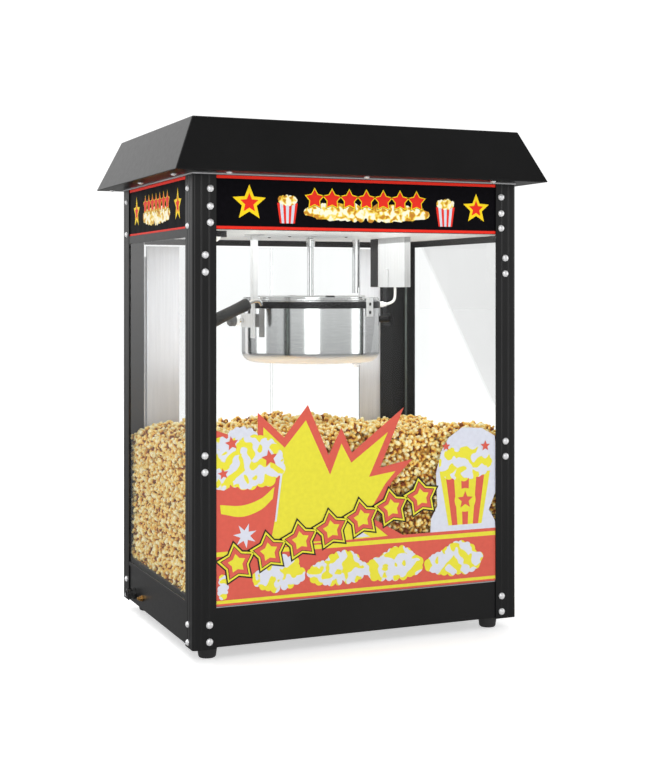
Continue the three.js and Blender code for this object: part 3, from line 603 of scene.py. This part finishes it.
# ---- Kettle ----
KETTLE = (KETTLE_X, 0.0, 0.0)
FINE = 160  # segments round the pot
SHEET = 1.5
POT_FLOOR, POT_TOP = 386.0, 465.7
PAN_FLOOR, PAN_TOP = 397.0, 476.0
FRAME_TOP = 480.2
LID_LOW, LID_HIGH = 480.6, 482.0


def bowl(outer, sheet, floor, corner, top):
    outside = arc((outer - corner, floor + corner), corner, -90, 0, 10)
    inside = arc((outer - corner, floor + corner), corner - sheet, 0, -90, 10)
    return [(0, floor), *outside, (outer, top), (outer - sheet, top), *inside, (0, floor + sheet)]


def ring(inner, outer, low, high, soft):
    """A closed ring section whose outer edges are softened."""
    return [(inner, low), *arc((outer - soft, low + soft), soft, -90, 0, 4),
            *arc((outer - soft, high - soft), soft, 0, 90, 4), (inner, high)]


PIVOT = (KETTLE_X, 0.0, TILT_Z)
pot = lathe(bowl(KETTLE_R, SHEET, POT_FLOOR, 16, POT_TOP), KETTLE, segments=FINE)
in_pot = KETTLE_R - 0.8
trunnion = turned([(5, in_pot), (5, 136.4), (4.5, 137)], PIVOT, "x", 32)
left_boss = turned([(6.4, -1.6), (7, -1), (7, 1)],
                  (KETTLE_X - KETTLE_R, 0, TILT_Z), "x", 32)
piece("kettle_pot", "kettle",
      [(polished_pot(0.4, 0.394), pot), (DARK_STEEL, trunnion), (POLISHED, left_boss)], ["kettle_shell"])
liner = lathe(bowl(100, SHEET, PAN_FLOOR, 9, PAN_TOP), KETTLE, segments=128)
liner_rim = lathe(ring(99, 104.3, 475.8, 477, 0.5), KETTLE, segments=FINE)
piece("kettle_liner", "kettle", all_in(POLISHED, liner, liner_rim), ["kettle_pan"])
band = lathe(ring(100.5, 104.5, 466, 475.5, 0.6), KETTLE, segments=FINE)
piece("rim_strap", "kettle", [(DARK_STEEL, band)], ["rim_band"])
hub = lathe(ring(5.4, 9, 473.3, FRAME_TOP, 0.6), KETTLE, segments=48)
rim_ring = lathe(ring(96, 102.5, 477.3, FRAME_TOP, 1.2), KETTLE, segments=FINE)
bridge = [box((KETTLE_X + near, -6, 477.4), (KETTLE_X + far, 6, 480.1)) for near, far in ((-98, -8), (8, 98))]
piece("lid_carrier", "kettle", all_in(POLISHED, hub, rim_ring, *bridge), ["lid_frame"])


def half_lid(sign):
    """A half disc curled round its hinge line, with a low button to lift it by."""
    radius, hinge = 101.0, 8.5
    start = math.degrees(math.asin(hinge / radius))
    outline = [(KETTLE_X + x, sign * y) for x, y in arc((0, 0), radius, start, 180 - start, 64)]
    plate = prism("z", outline, LID_LOW, LID_HIGH)
    roll = [(0, -86), (1.6, -86), (2, -85.6), (2, 85.6), (1.6, 86), (0, 86)]
    curl = lathe(roll, (KETTLE_X, sign * hinge, 482.5), "x", 20)
    button = [(0, 481.8), (6.7, 481.8), (7, 482.2), (7, 483.4), (6.6, 484.2), (5.8, 484.6), (0, 484.6)]
    knob = lathe(button, (KETTLE_X, sign * 74, 0), segments=40)
    return [(POLISHED, plate), (POLISHED, curl), (BAKELITE, knob)]


piece("front_half_lid", "front_lid", half_lid(-1), ["lid_front"])
piece("back_half_lid", "back_lid", half_lid(1), ["lid_back"])

handle_line = [(-100.6, -48.9, 471), (-105, -49.8, 476.4), (-113, -50, 476.6), (-122.4, -50, 472.8),
               (-141.7, -50, 463.8)]
grip_from, grip_to = Vector((-121, -50, 473.4)), Vector((-190, -50, 441.5))
length = (grip_to - grip_from).length
grip_profile = [(0, 0), (6.4, 0), (7.6, 0.5), (8.5, 1.6), (9.2, 5), (8.9, 12), (8.6, 20), (8.7, 35),
                (9.1, 52), (9.3, 62), (9.1, length - 6), (8.2, length - 2), (6.2, length), (0, length)]
lean = (grip_to - grip_from).to_track_quat("Z", "Y").to_matrix().to_4x4()
grip = moved(lathe(grip_profile, segments=48), Matrix.Translation(grip_from) @ lean)
piece("tipping_rod", "kettle", [(POLISHED, tube(handle_line, 3))], ["handle_rod"])
piece("tipping_grip", "kettle", [(BAKELITE, grip)], ["handle_grip"])

LEAD_Z = 470.7
connector = turned([(5, 101.1), (5.6, 101.8), (5.6, 110.5), (5, 111.5), (4.4, 112), (4.4, 117),
                   (3.6, 118), (3.2, 118.4), (3.2, 122)], (0, 0, LEAD_Z), "x", 40)
piece("element_connector", "kettle", [(WHITE_NYLON, connector)], ["heater_connector"])
lead_line = [(135.5, -4, 560), (135.5, -4, 530), (135.5, -4, 500), (135.5, -4, 485), (134.2, -3.4, 477.6),
             (130, -1.8, 473.4), (123.6, 0, 471)]
lead = piece("element_lead", "root", [(SILICONE, tube(lead_line, 2, 14, 10))], ["heater_lead"])
# The lead runs from one body to the other, so it rides on neither.
lead.parent = None
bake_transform(lead)

TILT = (0, 0, TILT_Z)  # at mid cabinet
stem = turned([(3, -120), (3, -109.4)], TILT, "x", 24)
washer = turned([(7, -124), (7.6, -123.4), (7.6, -119.6), (7, -119)], TILT, "x", 40)
knob = turned([(4.5, -136), (6.4, -135.2), (7.6, -133.6), (8.3, -131), (8.3, -125), (7.8, -124)], TILT, "x", 48)
flute = box((-133, 7.9, -0.7), (-124.6, 8.6, 0.7))
flutes = [moved(flute, place(*TILT) @ Matrix.Rotation(math.pi / 7 * i, 4, "X")) for i in range(14)]
piece("tilt_knob", "kettle",
      [(POLISHED, stem), (WHITE_NYLON, washer), *all_in(GREY_KNOB, knob, *flutes)], ["pivot_knob"])

# Clip on the pot's front right and the thermostat boss under it.
clip_at = place(*KETTLE) @ Matrix.Rotation(math.radians(-57), 4, "Z")
clip_face = KETTLE_R + 1.6
clip = [moved(box(low, (clip_face, 9, high)), clip_at)
        for low, high in (((KETTLE_R + 0.2, -9, 454), 481), ((96, -9, 480.2), 481.4))]
clip_screw = lathe([(0, 0), (2.6, 0), (2.2, 1.2), (0, 1.6)], axis="x", segments=20)
clip_screws = [moved(clip_screw, clip_at @ place(clip_face, 0, z)) for z in (460, 472)]
piece("rim_clip", "kettle", all_in(BRIGHT, *clip) + all_in(DARK_STEEL, *clip_screws), bevel=0.3)
BOSS = (58.0, -30.0, 0.0)
boss = turned([(3.4, 377.4), (4, 378), (4, 386)], BOSS, segments=28)
boss_nut = turned([(6.5, 380.5), (7, 381), (7, 382.6)], BOSS, segments=6)
piece("pot_boss", "kettle", all_in(SCREW_STEEL, boss, boss_nut))


# ---- Stirrer drive ----
TANG_TOP, SHOULDER = 566.5, 557.0
shaft = turned([(4.3, 399.8), (4.8, 400.4), (4.8, SHOULDER - 0.5), (4.3, SHOULDER)],
              KETTLE, segments=40)
tang = box((KETTLE_X - 1.8, -4.3, SHOULDER - 0.1), (KETTLE_X + 1.8, 4.3, TANG_TOP))
piece("stirrer_rod", "stirrer", all_in(POLISHED, shaft, tang), ["stirrer_shaft"])


def fork_half(sign):
    """Half of the slotted end, a segment of a circle in plan."""
    start = math.degrees(math.acos(2.3 / 7))
    outline = [(KETTLE_X + sign * x, y) for x, y in arc((0, 0), 7, -start, start, 20)]
    return prism("z", outline, 558, 567.6)


fork_cap = turned([(7, 567.5), (7, 569.4), (6.4, 570)], KETTLE, segments=40)
fork_shaft = turned([(4, 569.5), (4, 597)], KETTLE, segments=32)
piece("drive_coupling", "drive",
      all_in(POLISHED, fork_half(-1), fork_half(1), fork_cap, fork_shaft), ["drive_fork"])

# ---- The right hanger channel's neighbours: feed tube, duct, folded edge and pivot strap ----
feed = [(110, 84, z) for z in (572.6, 540, 505, 488)]
piece("feed_tube", "root", [(POLISHED, tube(feed, 6.2, 32, 2))])
CHANNEL_X, CHANNEL_FRONT, CHANNEL_FOOT = (130.0, 140.0), -47.0, 497.0
duct = box((CHANNEL_X[0] - 1.6, 45.4, CHANNEL_FOOT + 0.5), (CHANNEL_X[0], 69.6, 572.8))
piece("channel_duct", "root", [(BLACK, duct)], bevel=0.4)
# The fold strip's grey is painted shade on the channel's front edge.
fold = box((CHANNEL_X[0] + 0.1, CHANNEL_FRONT - 0.5, CHANNEL_FOOT), (CHANNEL_X[1], CHANNEL_FRONT, CEILING_Z))
piece("channel_fold", "root", [(FOLD_PAINTED_SHADE, fold)], bevel=0.2)
# The strap carries the kettle's right pivot. It is dark up to the channel's foot and bright above it.
STRAP_X = (126.5, 129.7)
strap_low = [(-8, 438), (20, 438), (20, CHANNEL_FOOT), (7, CHANNEL_FOOT), (7, 457), (-8, 457)]
strap_high = [(7, CHANNEL_FOOT), (20, CHANNEL_FOOT), (20, 525), (7, 525)]
piece("pivot_strap", "root",
      [(DARK_STEEL, prism("x", strap_low, *STRAP_X)), (BRIGHT, prism("x", strap_high, *STRAP_X))],
      ["hanger_strap"])

# ---- Door knobs and stop, pane trims, back screws ----
for sign, side in SIDES:
    at = (sign * 18, SKIN_Y, 250)
    knob = turned([(2.2, -5), (2.2, 1), (5.5, 1), (5.5, 6), (6.5, 6.6), (8.4, 7), (9, 7.8), (9, 12.6),
                  (8.2, 13.6), (6.5, 14)], at, "y", 48)
    nut = turned([(4.6, -6.5), (5, -6.1), (5, -3.4)], at, "y", 6)
    piece(f"knob_{side}", f"{side}_door", [(BAKELITE, knob), (SCREW_STEEL, nut)],
          [f"door_knob_{side}"])
piece("door_stop", "root", [(BLACK, box((193.5, 166.6, 73), (214.5, 169.6, 563)))], bevel=0.4)
# Black trims along the foot of the side panes, inside and out.
for sign, side in SIDES:
    strips = []
    for near, far, top in ((236.6, 239.9, 82.0), (244.3, 245.6, 77.0)):
        low, high = sorted((sign * near, sign * far))
        strips.append(box((low, -143.5, 70.8), (high, 143.5, top)))
    piece(f"pane_trim_{side}", "root", all_in(BLACK, *strips), bevel=0.5)
hinge_screws = [dome_screw((sx * 227, OUT_Y + 1.5, z), "y", 1, radius=3.4, height=1.2)
                for sx in (-1, 1) for z in (110, 190, 317, 445, 525)]
panel_screws = [dome_screw((x, SKIN_Y, z), "y", 1, radius=3.4, height=1.4)
                for x in (-190, -120, 120, 190) for z in (584, 636)]
piece("back_screws", "root", all_in(SCREW_STEEL, *hinge_screws, *panel_screws))


# ---- Printed artwork ----
FILM = 0.09  # thickness of one layer of print
PRINT_RANDOM = random.Random(7)


class Art:
    """Flat shapes stacked in thin layers on a plane; figures are made narrower by squeeze."""

    def __init__(self, name, axis, surface, out, squeeze=1.0):
        self.name, self.axis, self.surface, self.out, self.squeeze = name, axis, surface, out, squeeze
        self.shapes = []

    def add(self, material, level, outline):
        start = self.surface + self.out * (0.02 + FILM * level)
        self.shapes.append((material, prism(self.axis, outline, start, start + self.out * FILM)))

    def bar(self, material, level, half, low, high):
        self.add(material, level, [(-half, low), (half, low), (half, high), (-half, high)])

    def slat(self, material, level, x, bottom, top, low, high, start=-1.0, end=1.0):
        """A strip of a tapering shape at x, between two shares of its half widths bottom and top."""
        bottom, top = self.squeeze * bottom, self.squeeze * top
        self.add(material, level, [(x + bottom * start, low), (x + bottom * end, low),
                                   (x + top * end, high), (x + top * start, high)])

    def star(self, material, level, centre, outer, inner, points=5, turn=90.0):
        tips = [(inner if i % 2 else outer, math.radians(turn + 180 * i / points)) for i in range(2 * points)]
        self.add(material, level, [(centre[0] + self.squeeze * r * math.cos(a), centre[1] + r * math.sin(a))
                                   for r, a in tips])

    def puffs(self, material, level, centre, width, height, lobe):
        """A heap of printed popcorn: the scalloped outline of a ring of overlapping discs."""
        bumps = max(8, round(math.pi * (width + height) / 2 / (lobe * 1.35)))
        discs = []
        for index in range(bumps):
            turn = 2 * math.pi * (index + PRINT_RANDOM.uniform(-0.2, 0.2)) / bumps
            reach = PRINT_RANDOM.uniform(0.92, 1.05)
            a, b = width / 2 * reach * math.cos(turn), height / 2 * reach * math.sin(turn)
            discs.append((a, b, lobe * PRINT_RANDOM.uniform(0.85, 1.2)))
        outline, steps = [], 220
        for index in range(steps):
            turn = 2 * math.pi * index / steps
            right, up = math.cos(turn), math.sin(turn)
            reach = 0.9 / math.hypot(right / (width / 2), up / (height / 2))
            for a, b, radius in discs:
                along = a * right + b * up
                inside = along * along - a * a - b * b + radius * radius
                if inside > 0:
                    reach = max(reach, along + math.sqrt(inside))
            outline.append((centre[0] + self.squeeze * reach * right, centre[1] + reach * up))
        self.add(material, level, outline)

    def carton(self, x, z, width):
        """A plain striped popcorn carton with popcorn on top."""
        height = width * 1.35
        low, high = z - height / 2, z + height * 0.18
        self.slat(SIGN_RED, 0, x, width * 0.36, width / 2, low, high)
        for middle in (-0.6, 0.0, 0.6):
            self.slat(DECAL_WHITE, 1, x, width * 0.36, width / 2, low, high, middle - 0.16, middle + 0.16)
        self.puffs(SIGN_POPCORN, 2, (x, high + height * 0.1), width * 0.8, height * 0.24, width * 0.09)

    def finish(self):
        piece(self.name, "root", self.shapes)


front = Art("front_film", "y", -SKIN_Y, -1)
EDGE = OPEN_X - 0.2
BAND_Z = 149.0
front.bar(DECAL_RED, 0, EDGE, FLOOR_Z + 0.6, BAND_Z)
for low, high in ((75.5, 79.8), (138.4, 144.4)):
    front.bar(DECAL_YELLOW, 1, EDGE, low, high)
# Starburst: red points with yellow ones inside them.
front.add(DECAL_RED, 0, [(-154, BAND_Z), (-154, 328), (-116, 293), (-81, 336), (-50, 266), (-31, 303),
                         (-15, 268), (65, 328), (28, 245), (79, 255), (46, 224), (20, 173), (63, BAND_Z)])
front.add(DECAL_YELLOW, 1, [(-146, 145), (-146, 308), (-115, 279), (-84, 315), (-48, 239), (-31, 281),
                            (-16, 254), (40, 294), (11, 233), (52, 239), (36, 222), (6, 176), (40, BAND_Z)])
front.add(DECAL_RED, 2, [(-80, BAND_Z), (-64, 168), (-51, BAND_Z)])
front.add(DECAL_WHITE, 2, [(-12, BAND_Z + 1), (-12, 164), (12, BAND_Z + 1)])
# Bucket at the left edge, cut by the post.
front.add(DECAL_RED, 2, [(-EDGE, BAND_Z), (-EDGE, 306), (-190, 298), (-119, 246), (-128, 189),
                         (-136, BAND_Z)])
front.add(DECAL_WHITE, 3, [(-121.5, 244), (-118, 247), (-127, 180), (-129.5, 180)])
upper = spline([(-207.5, 207, 0), (-177, 204.5, 0), (-150, 212, 0), (-130, 227, 0)], 6)
lower = spline([(-206, 195, 0), (-177, 189.5, 0), (-150, 197, 0), (-132.5, 211, 0)], 6)
front.add(DECAL_YELLOW, 3, [(p.x, p.y) for p in upper + lower[::-1]])
front.star(DECAL_WHITE, 3, (-172, 164), 17, 7, 7, 20)
front.puffs(DECAL_WHITE, 4, (-175, 291), 34, 30, 6)
front.puffs(DECAL_POPCORN, 5, (-164, 261), 82, 60, 8)
front.add(DECAL_POPCORN, 6, [(-EDGE, 228), (-202, 226), (-194, 230), (-192, 262), (-194, 292), (-204, 298),
                             (-EDGE, 296)])
for spot, size in (((-191, 288), 10), ((-137, 266), 12), ((-203, 248), 8)):
    front.star(DECAL_RED, 8, spot, size, size * 0.45, turn=100)
for level, (x, width) in zip((2, 3, 2, 3), ((-124, 74), (-37, 84), (48, 88), (145, 88))):
    front.puffs(DECAL_POPCORN, level, (x, 105), width - 4, 28, 6)
    front.puffs(DECAL_POPCORN, level + 2, (x + 8, 116), width * 0.5, 26, 6)
front.puffs(DECAL_POPCORN, 2, (-203, 97), 8, 26, 4)
# A rising row of stars.
ROW_STAR = ((31.5, DECAL_DARK), (28, DECAL_YELLOW), (23.8, DECAL_DARK), (22.2, DECAL_RED), (13, DECAL_YELLOW))
for index in range(7):
    for level, (size, material) in enumerate(ROW_STAR, 7):
        front.star(material, level, (-184 + index * 46, 128 + 12 * index), size, size * 0.6, turn=100)
# A carton with stars, on a white ground, takes the right side.
front.add(DECAL_WHITE, 0, [(107, BAND_Z), (108, 168), (118, 186), (116, 232), (124, 262), (136, 282),
                           (158, 296), (190, 294), (212, 282), (EDGE, 270), (EDGE, 200), (202, 176),
                           (212, 160), (EDGE, BAND_Z)])
CARTON = (163, 27, 41, 157, 232)
front.slat(DECAL_YELLOW, 1, *CARTON)
for middle in (-0.62, 0.0, 0.62):
    front.slat(DECAL_RED, 2, *CARTON, middle - 0.16, middle + 0.16)
front.puffs(DECAL_POPCORN, 3, (163, 246), 76, 40, 7)
front.add(DECAL_YELLOW, 3, arc((163, 192), 17, 0, 348.75, 31))
for spot, size in (((163, 192), 13), ((196, 268), 8), ((132, 270), 7)):
    front.star(DECAL_RED, 6, spot, size, size * 0.45)
front.finish()


def sign_art(name, axis, surface, out, half, middle, squeeze, stars, cartons=()):
    """Red lines and a row of stars over printed popcorn, with bigger stars and cartons beside it."""
    art = Art(name, axis, surface, out, squeeze)
    for low, high in ((573.8, 577.8), (641.2, 645.2)):
        art.bar(SIGN_RED, 0, half, low, high)
    art.puffs(SIGN_POPCORN, 0, (middle, 600), 178, 18, 5)
    for index in range(7):
        spot = (middle + squeeze * (index - 3) * 26, 617)
        for level, size, material in ((1, 16.5, SIGN_BLACK), (2, 15.5, SIGN_YELLOW), (3, 13, SIGN_RED)):
            art.star(material, level, spot, size, size * 0.55)
    for x, size in stars:
        art.star(SIGN_YELLOW, 0, (x, 609), size, size * 0.45)
        art.star(SIGN_RED, 1, (x, 609), size * 0.55, size * 0.25)
    for x in cartons:
        art.carton(x, 603, 30)
    art.finish()


sign_art("front_sign_print", "y", -SKIN_Y, -1, EDGE, 7, 1.0, ((-166, 25), (181, 22)), (-111, 131))
for sign, side in SIDES:
    sign_art(f"{side}_sign_print", "x", sign * SKIN_X, sign, 143.0, 0, 0.72, ((-104, 24), (104, 24)))


# ---- Popcorn ----
def kernel_shape(rng):
    """One popped kernel: lobes round a hull, as points on a unit scale with each one's outwardness."""
    work = bmesh.new()
    bmesh.ops.create_icosphere(work, subdivisions=3, radius=1.0)
    faces = np.array([[v.index for v in f.verts] for f in work.faces])
    directions = np.array([v.co.normalized() for v in work.verts])
    work.free()
    lobes, hull = rng.randint(7, 9), 0.42
    reach = np.full(len(directions), hull)
    for index in range(lobes):
        tilt = math.acos(1 - 2 * (index + rng.random()) / lobes)
        turn = rng.uniform(0, 2 * math.pi)
        centre = np.array([math.sin(tilt) * math.cos(turn), math.sin(tilt) * math.sin(turn), math.cos(tilt)])
        centre = centre * rng.uniform(0.5, 0.72)
        radius = rng.uniform(0.27, 0.42)
        along = directions @ centre
        inside = along ** 2 - centre @ centre + radius ** 2
        hit = inside > 0
        reach[hit] = np.maximum(reach[hit], along[hit] + np.sqrt(inside[hit]))
    points = directions * reach[:, None]
    puff = (reach - reach.min()) / (reach.max() - reach.min())
    return points, faces, puff


KERNEL_SIZES = (7.0, 9.0)
POP = np.random.RandomState(11)
kernels = [kernel_shape(random.Random(seed)) for seed in range(10)]


def random_turn():
    return np.array(Quaternion(POP.normal(size=4)).normalized().to_matrix())


def give_puff(mesh, values):
    """Store a puff value for each point, for the popcorn look: how far out it lies on a kernel; on the core, a
    fixed low value that is painted shade.
    """
    mesh.attributes.new("puff", "FLOAT", "POINT").data.foreach_set("value", values)


def kernel_layer(name, places):
    """One object of popped kernels at places in mm."""
    points, faces, puffs_out, base = [], [], [], 0
    for spot in places:
        shape, shape_faces, puff = kernels[POP.randint(len(kernels))]
        size = POP.uniform(*KERNEL_SIZES)
        points.append(shape @ random_turn().T * size + spot)
        faces.append(shape_faces + base)
        puffs_out.append(np.clip(puff * POP.uniform(0.8, 1.0) + POP.uniform(-0.1, 0.1), 0, 1))
        base += len(shape)
    mesh = bpy.data.meshes.new(name)
    mesh.from_pydata(np.concatenate(points) * MM, [], np.concatenate(faces).tolist())
    give_puff(mesh, np.concatenate(puffs_out))
    mesh.materials.append(POPCORN)
    mesh.shade_smooth()
    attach(in_scene(name, mesh), "root")


HEAP_X, HEAP_FRONT, HEAP_BACK = 231.5, -162.0, 158.0
HEAP_FOOT, HEAP_Z, HEAP_PEAK = 80.0, 286.0, 304.0
PITCH = 10.4  # between kernels, and ROW between rows of them
ROW = PITCH * 0.88


def heap_top(x, y):
    """Height of the popcorn in the cabinet."""
    lumps = 5 * math.sin(x / 23 + 1.1) * math.cos(y / 31) + 4 * math.sin(x / 11 + y / 17)
    edge = max(0.0, -190 - x) * 0.25 * min(1.0, max(0.0, (y + 120) / 80))
    mound = 9 * math.exp(-((x - 5) / 45) ** 2)
    slump = 5 * min(1.0, max(0.0, (x - 40) / 80))
    return HEAP_Z + mound + lumps - 0.03 * (y + 160) - edge - slump


def grid(low, high, pitch):
    return np.linspace(low, high, max(2, round((high - low) / pitch) + 1))


def jitter():
    return POP.uniform(-2.8, 2.8, 3)


def inside_panes(spot):
    return np.clip(spot, (-HEAP_X, HEAP_FRONT, HEAP_FOOT), (HEAP_X, HEAP_BACK, EAVE_Z))


def upright_layer(name, fixed_axis, fixed, span, low=HEAP_FOOT):
    """Kernels against one wall of the cabinet."""
    places = []
    for row, z in enumerate(grid(low, HEAP_PEAK, PITCH * 0.9)):
        for a in grid(*span, PITCH) + (row % 2 - 0.5) * PITCH / 2:
            shift = jitter()
            shift["xyz".index(fixed_axis)] *= 0.35
            spot = (fixed, a, z) if fixed_axis == "x" else (a, fixed, z)
            if z < heap_top(spot[0], spot[1]) - 3:
                places.append(inside_panes(np.array(spot) + shift))
    kernel_layer(name, places)


def heap_surface(name, y_span):
    """Kernels on top of the heap."""
    places = []
    for row, y in enumerate(grid(*y_span, ROW)):
        for x in grid(-HEAP_X, HEAP_X, PITCH) + (row % 2 - 0.5) * PITCH / 2:
            spot = np.array([x, y, heap_top(x, y)]) + jitter() * (1, 1, 1.6)
            places.append(inside_panes(spot))
    kernel_layer(name, places)


def heap_core():
    """The mass behind the outer kernels, a closed lumpy block."""
    inset, sink, step = 5.5, 7.0, 8.0
    xs = grid(-HEAP_X + inset, HEAP_X - inset, step)
    ys = grid(HEAP_FRONT + inset, HEAP_BACK - inset, step)
    points = [(x, y, heap_top(x, y) - sink) for y in ys for x in xs]
    columns, rows = len(xs), len(ys)
    faces = [(r * columns + c, r * columns + c + 1, (r + 1) * columns + c + 1, (r + 1) * columns + c)
             for r in range(rows - 1) for c in range(columns - 1)]
    border = [*range(columns), *(r * columns + columns - 1 for r in range(1, rows))]
    border += [(rows - 1) * columns + c for c in range(columns - 2, -1, -1)]
    border += [r * columns for r in range(rows - 2, 0, -1)]
    low = len(points)
    points += [(points[i][0], points[i][1], FLOOR_Z + 2) for i in border]
    count = len(border)
    faces += [(border[i], border[(i + 1) % count], low + (i + 1) % count, low + i) for i in range(count)]
    faces.append(tuple(range(low + count - 1, low - 1, -1)))
    return points, faces


# The core's low puff turns it golden brown in the popcorn look: painted shade in the gaps between the kernels.
CORE_PAINTED_SHADE_PUFF = 0.32
core = piece("popcorn_core", "root", [(POPCORN, heap_core())])
give_puff(core.data, [CORE_PAINTED_SHADE_PUFF] * len(core.data.vertices))
MIDDLE = (HEAP_FRONT + HEAP_BACK) / 2
for side, x in (("left", -HEAP_X), ("right", HEAP_X)):
    upright_layer(f"popcorn_{side}_front", "x", x, (HEAP_FRONT, MIDDLE - PITCH / 2))
    upright_layer(f"popcorn_{side}_back", "x", x, (MIDDLE + PITCH / 2, HEAP_BACK))
for side, span in (("left", (-HEAP_X + PITCH, -PITCH / 2)), ("right", (PITCH / 2, HEAP_X - PITCH))):
    upright_layer(f"popcorn_front_{side}", "y", HEAP_FRONT, span, BAND_Z + 1)
    upright_layer(f"popcorn_back_{side}", "y", HEAP_BACK, span)
steps = np.linspace(HEAP_FRONT + 1, HEAP_BACK - 1 + ROW, 5)
for index, (start, end) in enumerate(zip(steps, steps[1:])):
    heap_surface(f"popcorn_top_{index}", (start, end - ROW))


# ---- Studio ----
def studio():
    ground = Surface("pale_floor", Roughness=0.6, Emission_Strength=0.62)
    pale = ground.colours(ground.noise(3, 2), (0.3, grey(0.86)), (0.7, grey(0.88)))
    for socket in ("Base Color", "Emission Color"):
        ground.link(pale, ground.shader.inputs[socket])
    mesh = bpy.data.meshes.new("floor")
    mesh.from_pydata([(30 * sx, 30 * sy, 0) for sx, sy in CORNERS], [], [(0, 1, 2, 3)])
    mesh.materials.append(ground.material)
    floor = in_scene("floor", mesh)
    floor.visible_glossy = False

    # The backdrop looks white. What it lends to the shapes is darker below, and darker in front.
    world = bpy.data.worlds.new("studio")
    bpy.context.scene.world = world
    world.use_nodes = True
    sky = Nodes(world.node_tree)
    direction = sky.parts(sky.node("ShaderNodeTexCoord").outputs["Generated"])

    def by(axis, *stops):
        """Grey levels against one component of the direction, -1..1."""
        unit = sky.spread(direction[axis], 0, 1, -1, 1)
        return sky.colours(unit, *(((at + 1) / 2, grey(level)) for at, level in stops))

    behind = by("Z", (-0.3, 0.2), (-0.12, 0.32), (0.02, 0.74), (0.35, 1.1))
    ahead = by("Z", (-0.25, 0.3), (0.0, 0.72), (0.3, 0.42), (0.6, 0.2))
    lent = sky.mix(by("Y", (-0.35, 0.0), (0.45, 1.0)), ahead, behind)
    white = by("Z", (-1, 1.12), (1, 1.16))
    seen = sky.mix(sky.node("ShaderNodeLightPath").outputs["Is Camera Ray"], lent, white)
    sky.link(seen, sky.tree.nodes["Background"].inputs["Color"])


def softbox(name, at, look_at, size, power, hidden=False):
    data = bpy.data.lights.new(name, "AREA")
    data.shape = "RECTANGLE"
    data.size, data.size_y = size
    data.energy = power
    lamp = in_scene(name, data)
    lamp.location = at
    lamp.visible_camera = False
    lamp.visible_glossy = not hidden
    lamp.rotation_euler = (Vector(look_at) - Vector(at)).to_track_quat("-Z", "Y").to_euler()


studio()
softbox("behind_camera", (-0.9, -2.45, 0.75), (0, 0, 0.45), (1.1, 1.8), 11)
softbox("right_front", (2.2, -1.15, 0.75), (0, 0, 0.45), (1.3, 1.8), 10)
softbox("left", (-2.4, 0.9, 0.8), (0, 0, 0.45), (1.0, 1.8), 7)
softbox("key", (-1.7, -2.6, 2.6), (0, 0, 0.35), (1.6, 1.4), 34)
softbox("top", (-0.4, 0.9, 3.2), (0, 0, 0.3), (2.4, 2.4), 45)
softbox("cabinet_up", (0, -0.02, 0.345), (0, -0.02, 1), (0.38, 0.26), 0.7, hidden=True)
softbox("cabinet_down", (0, -0.02, 0.565), (0, -0.02, 0), (0.4, 0.28), 1.1, hidden=True)

camera_data = bpy.data.cameras.new("camera")
camera_data.lens = 63.01
camera_data.shift_x, camera_data.shift_y = 0.0181, -0.1243
camera = in_scene("camera", camera_data)
camera.location = (-0.7924, -1.8787, 0.4915)
camera.rotation_euler = (math.radians(90), 0, math.radians(-22.68))
scene = bpy.context.scene
scene.camera = camera
scene.view_settings.view_transform = "Standard"
scene.cycles.transparent_max_bounces = 24
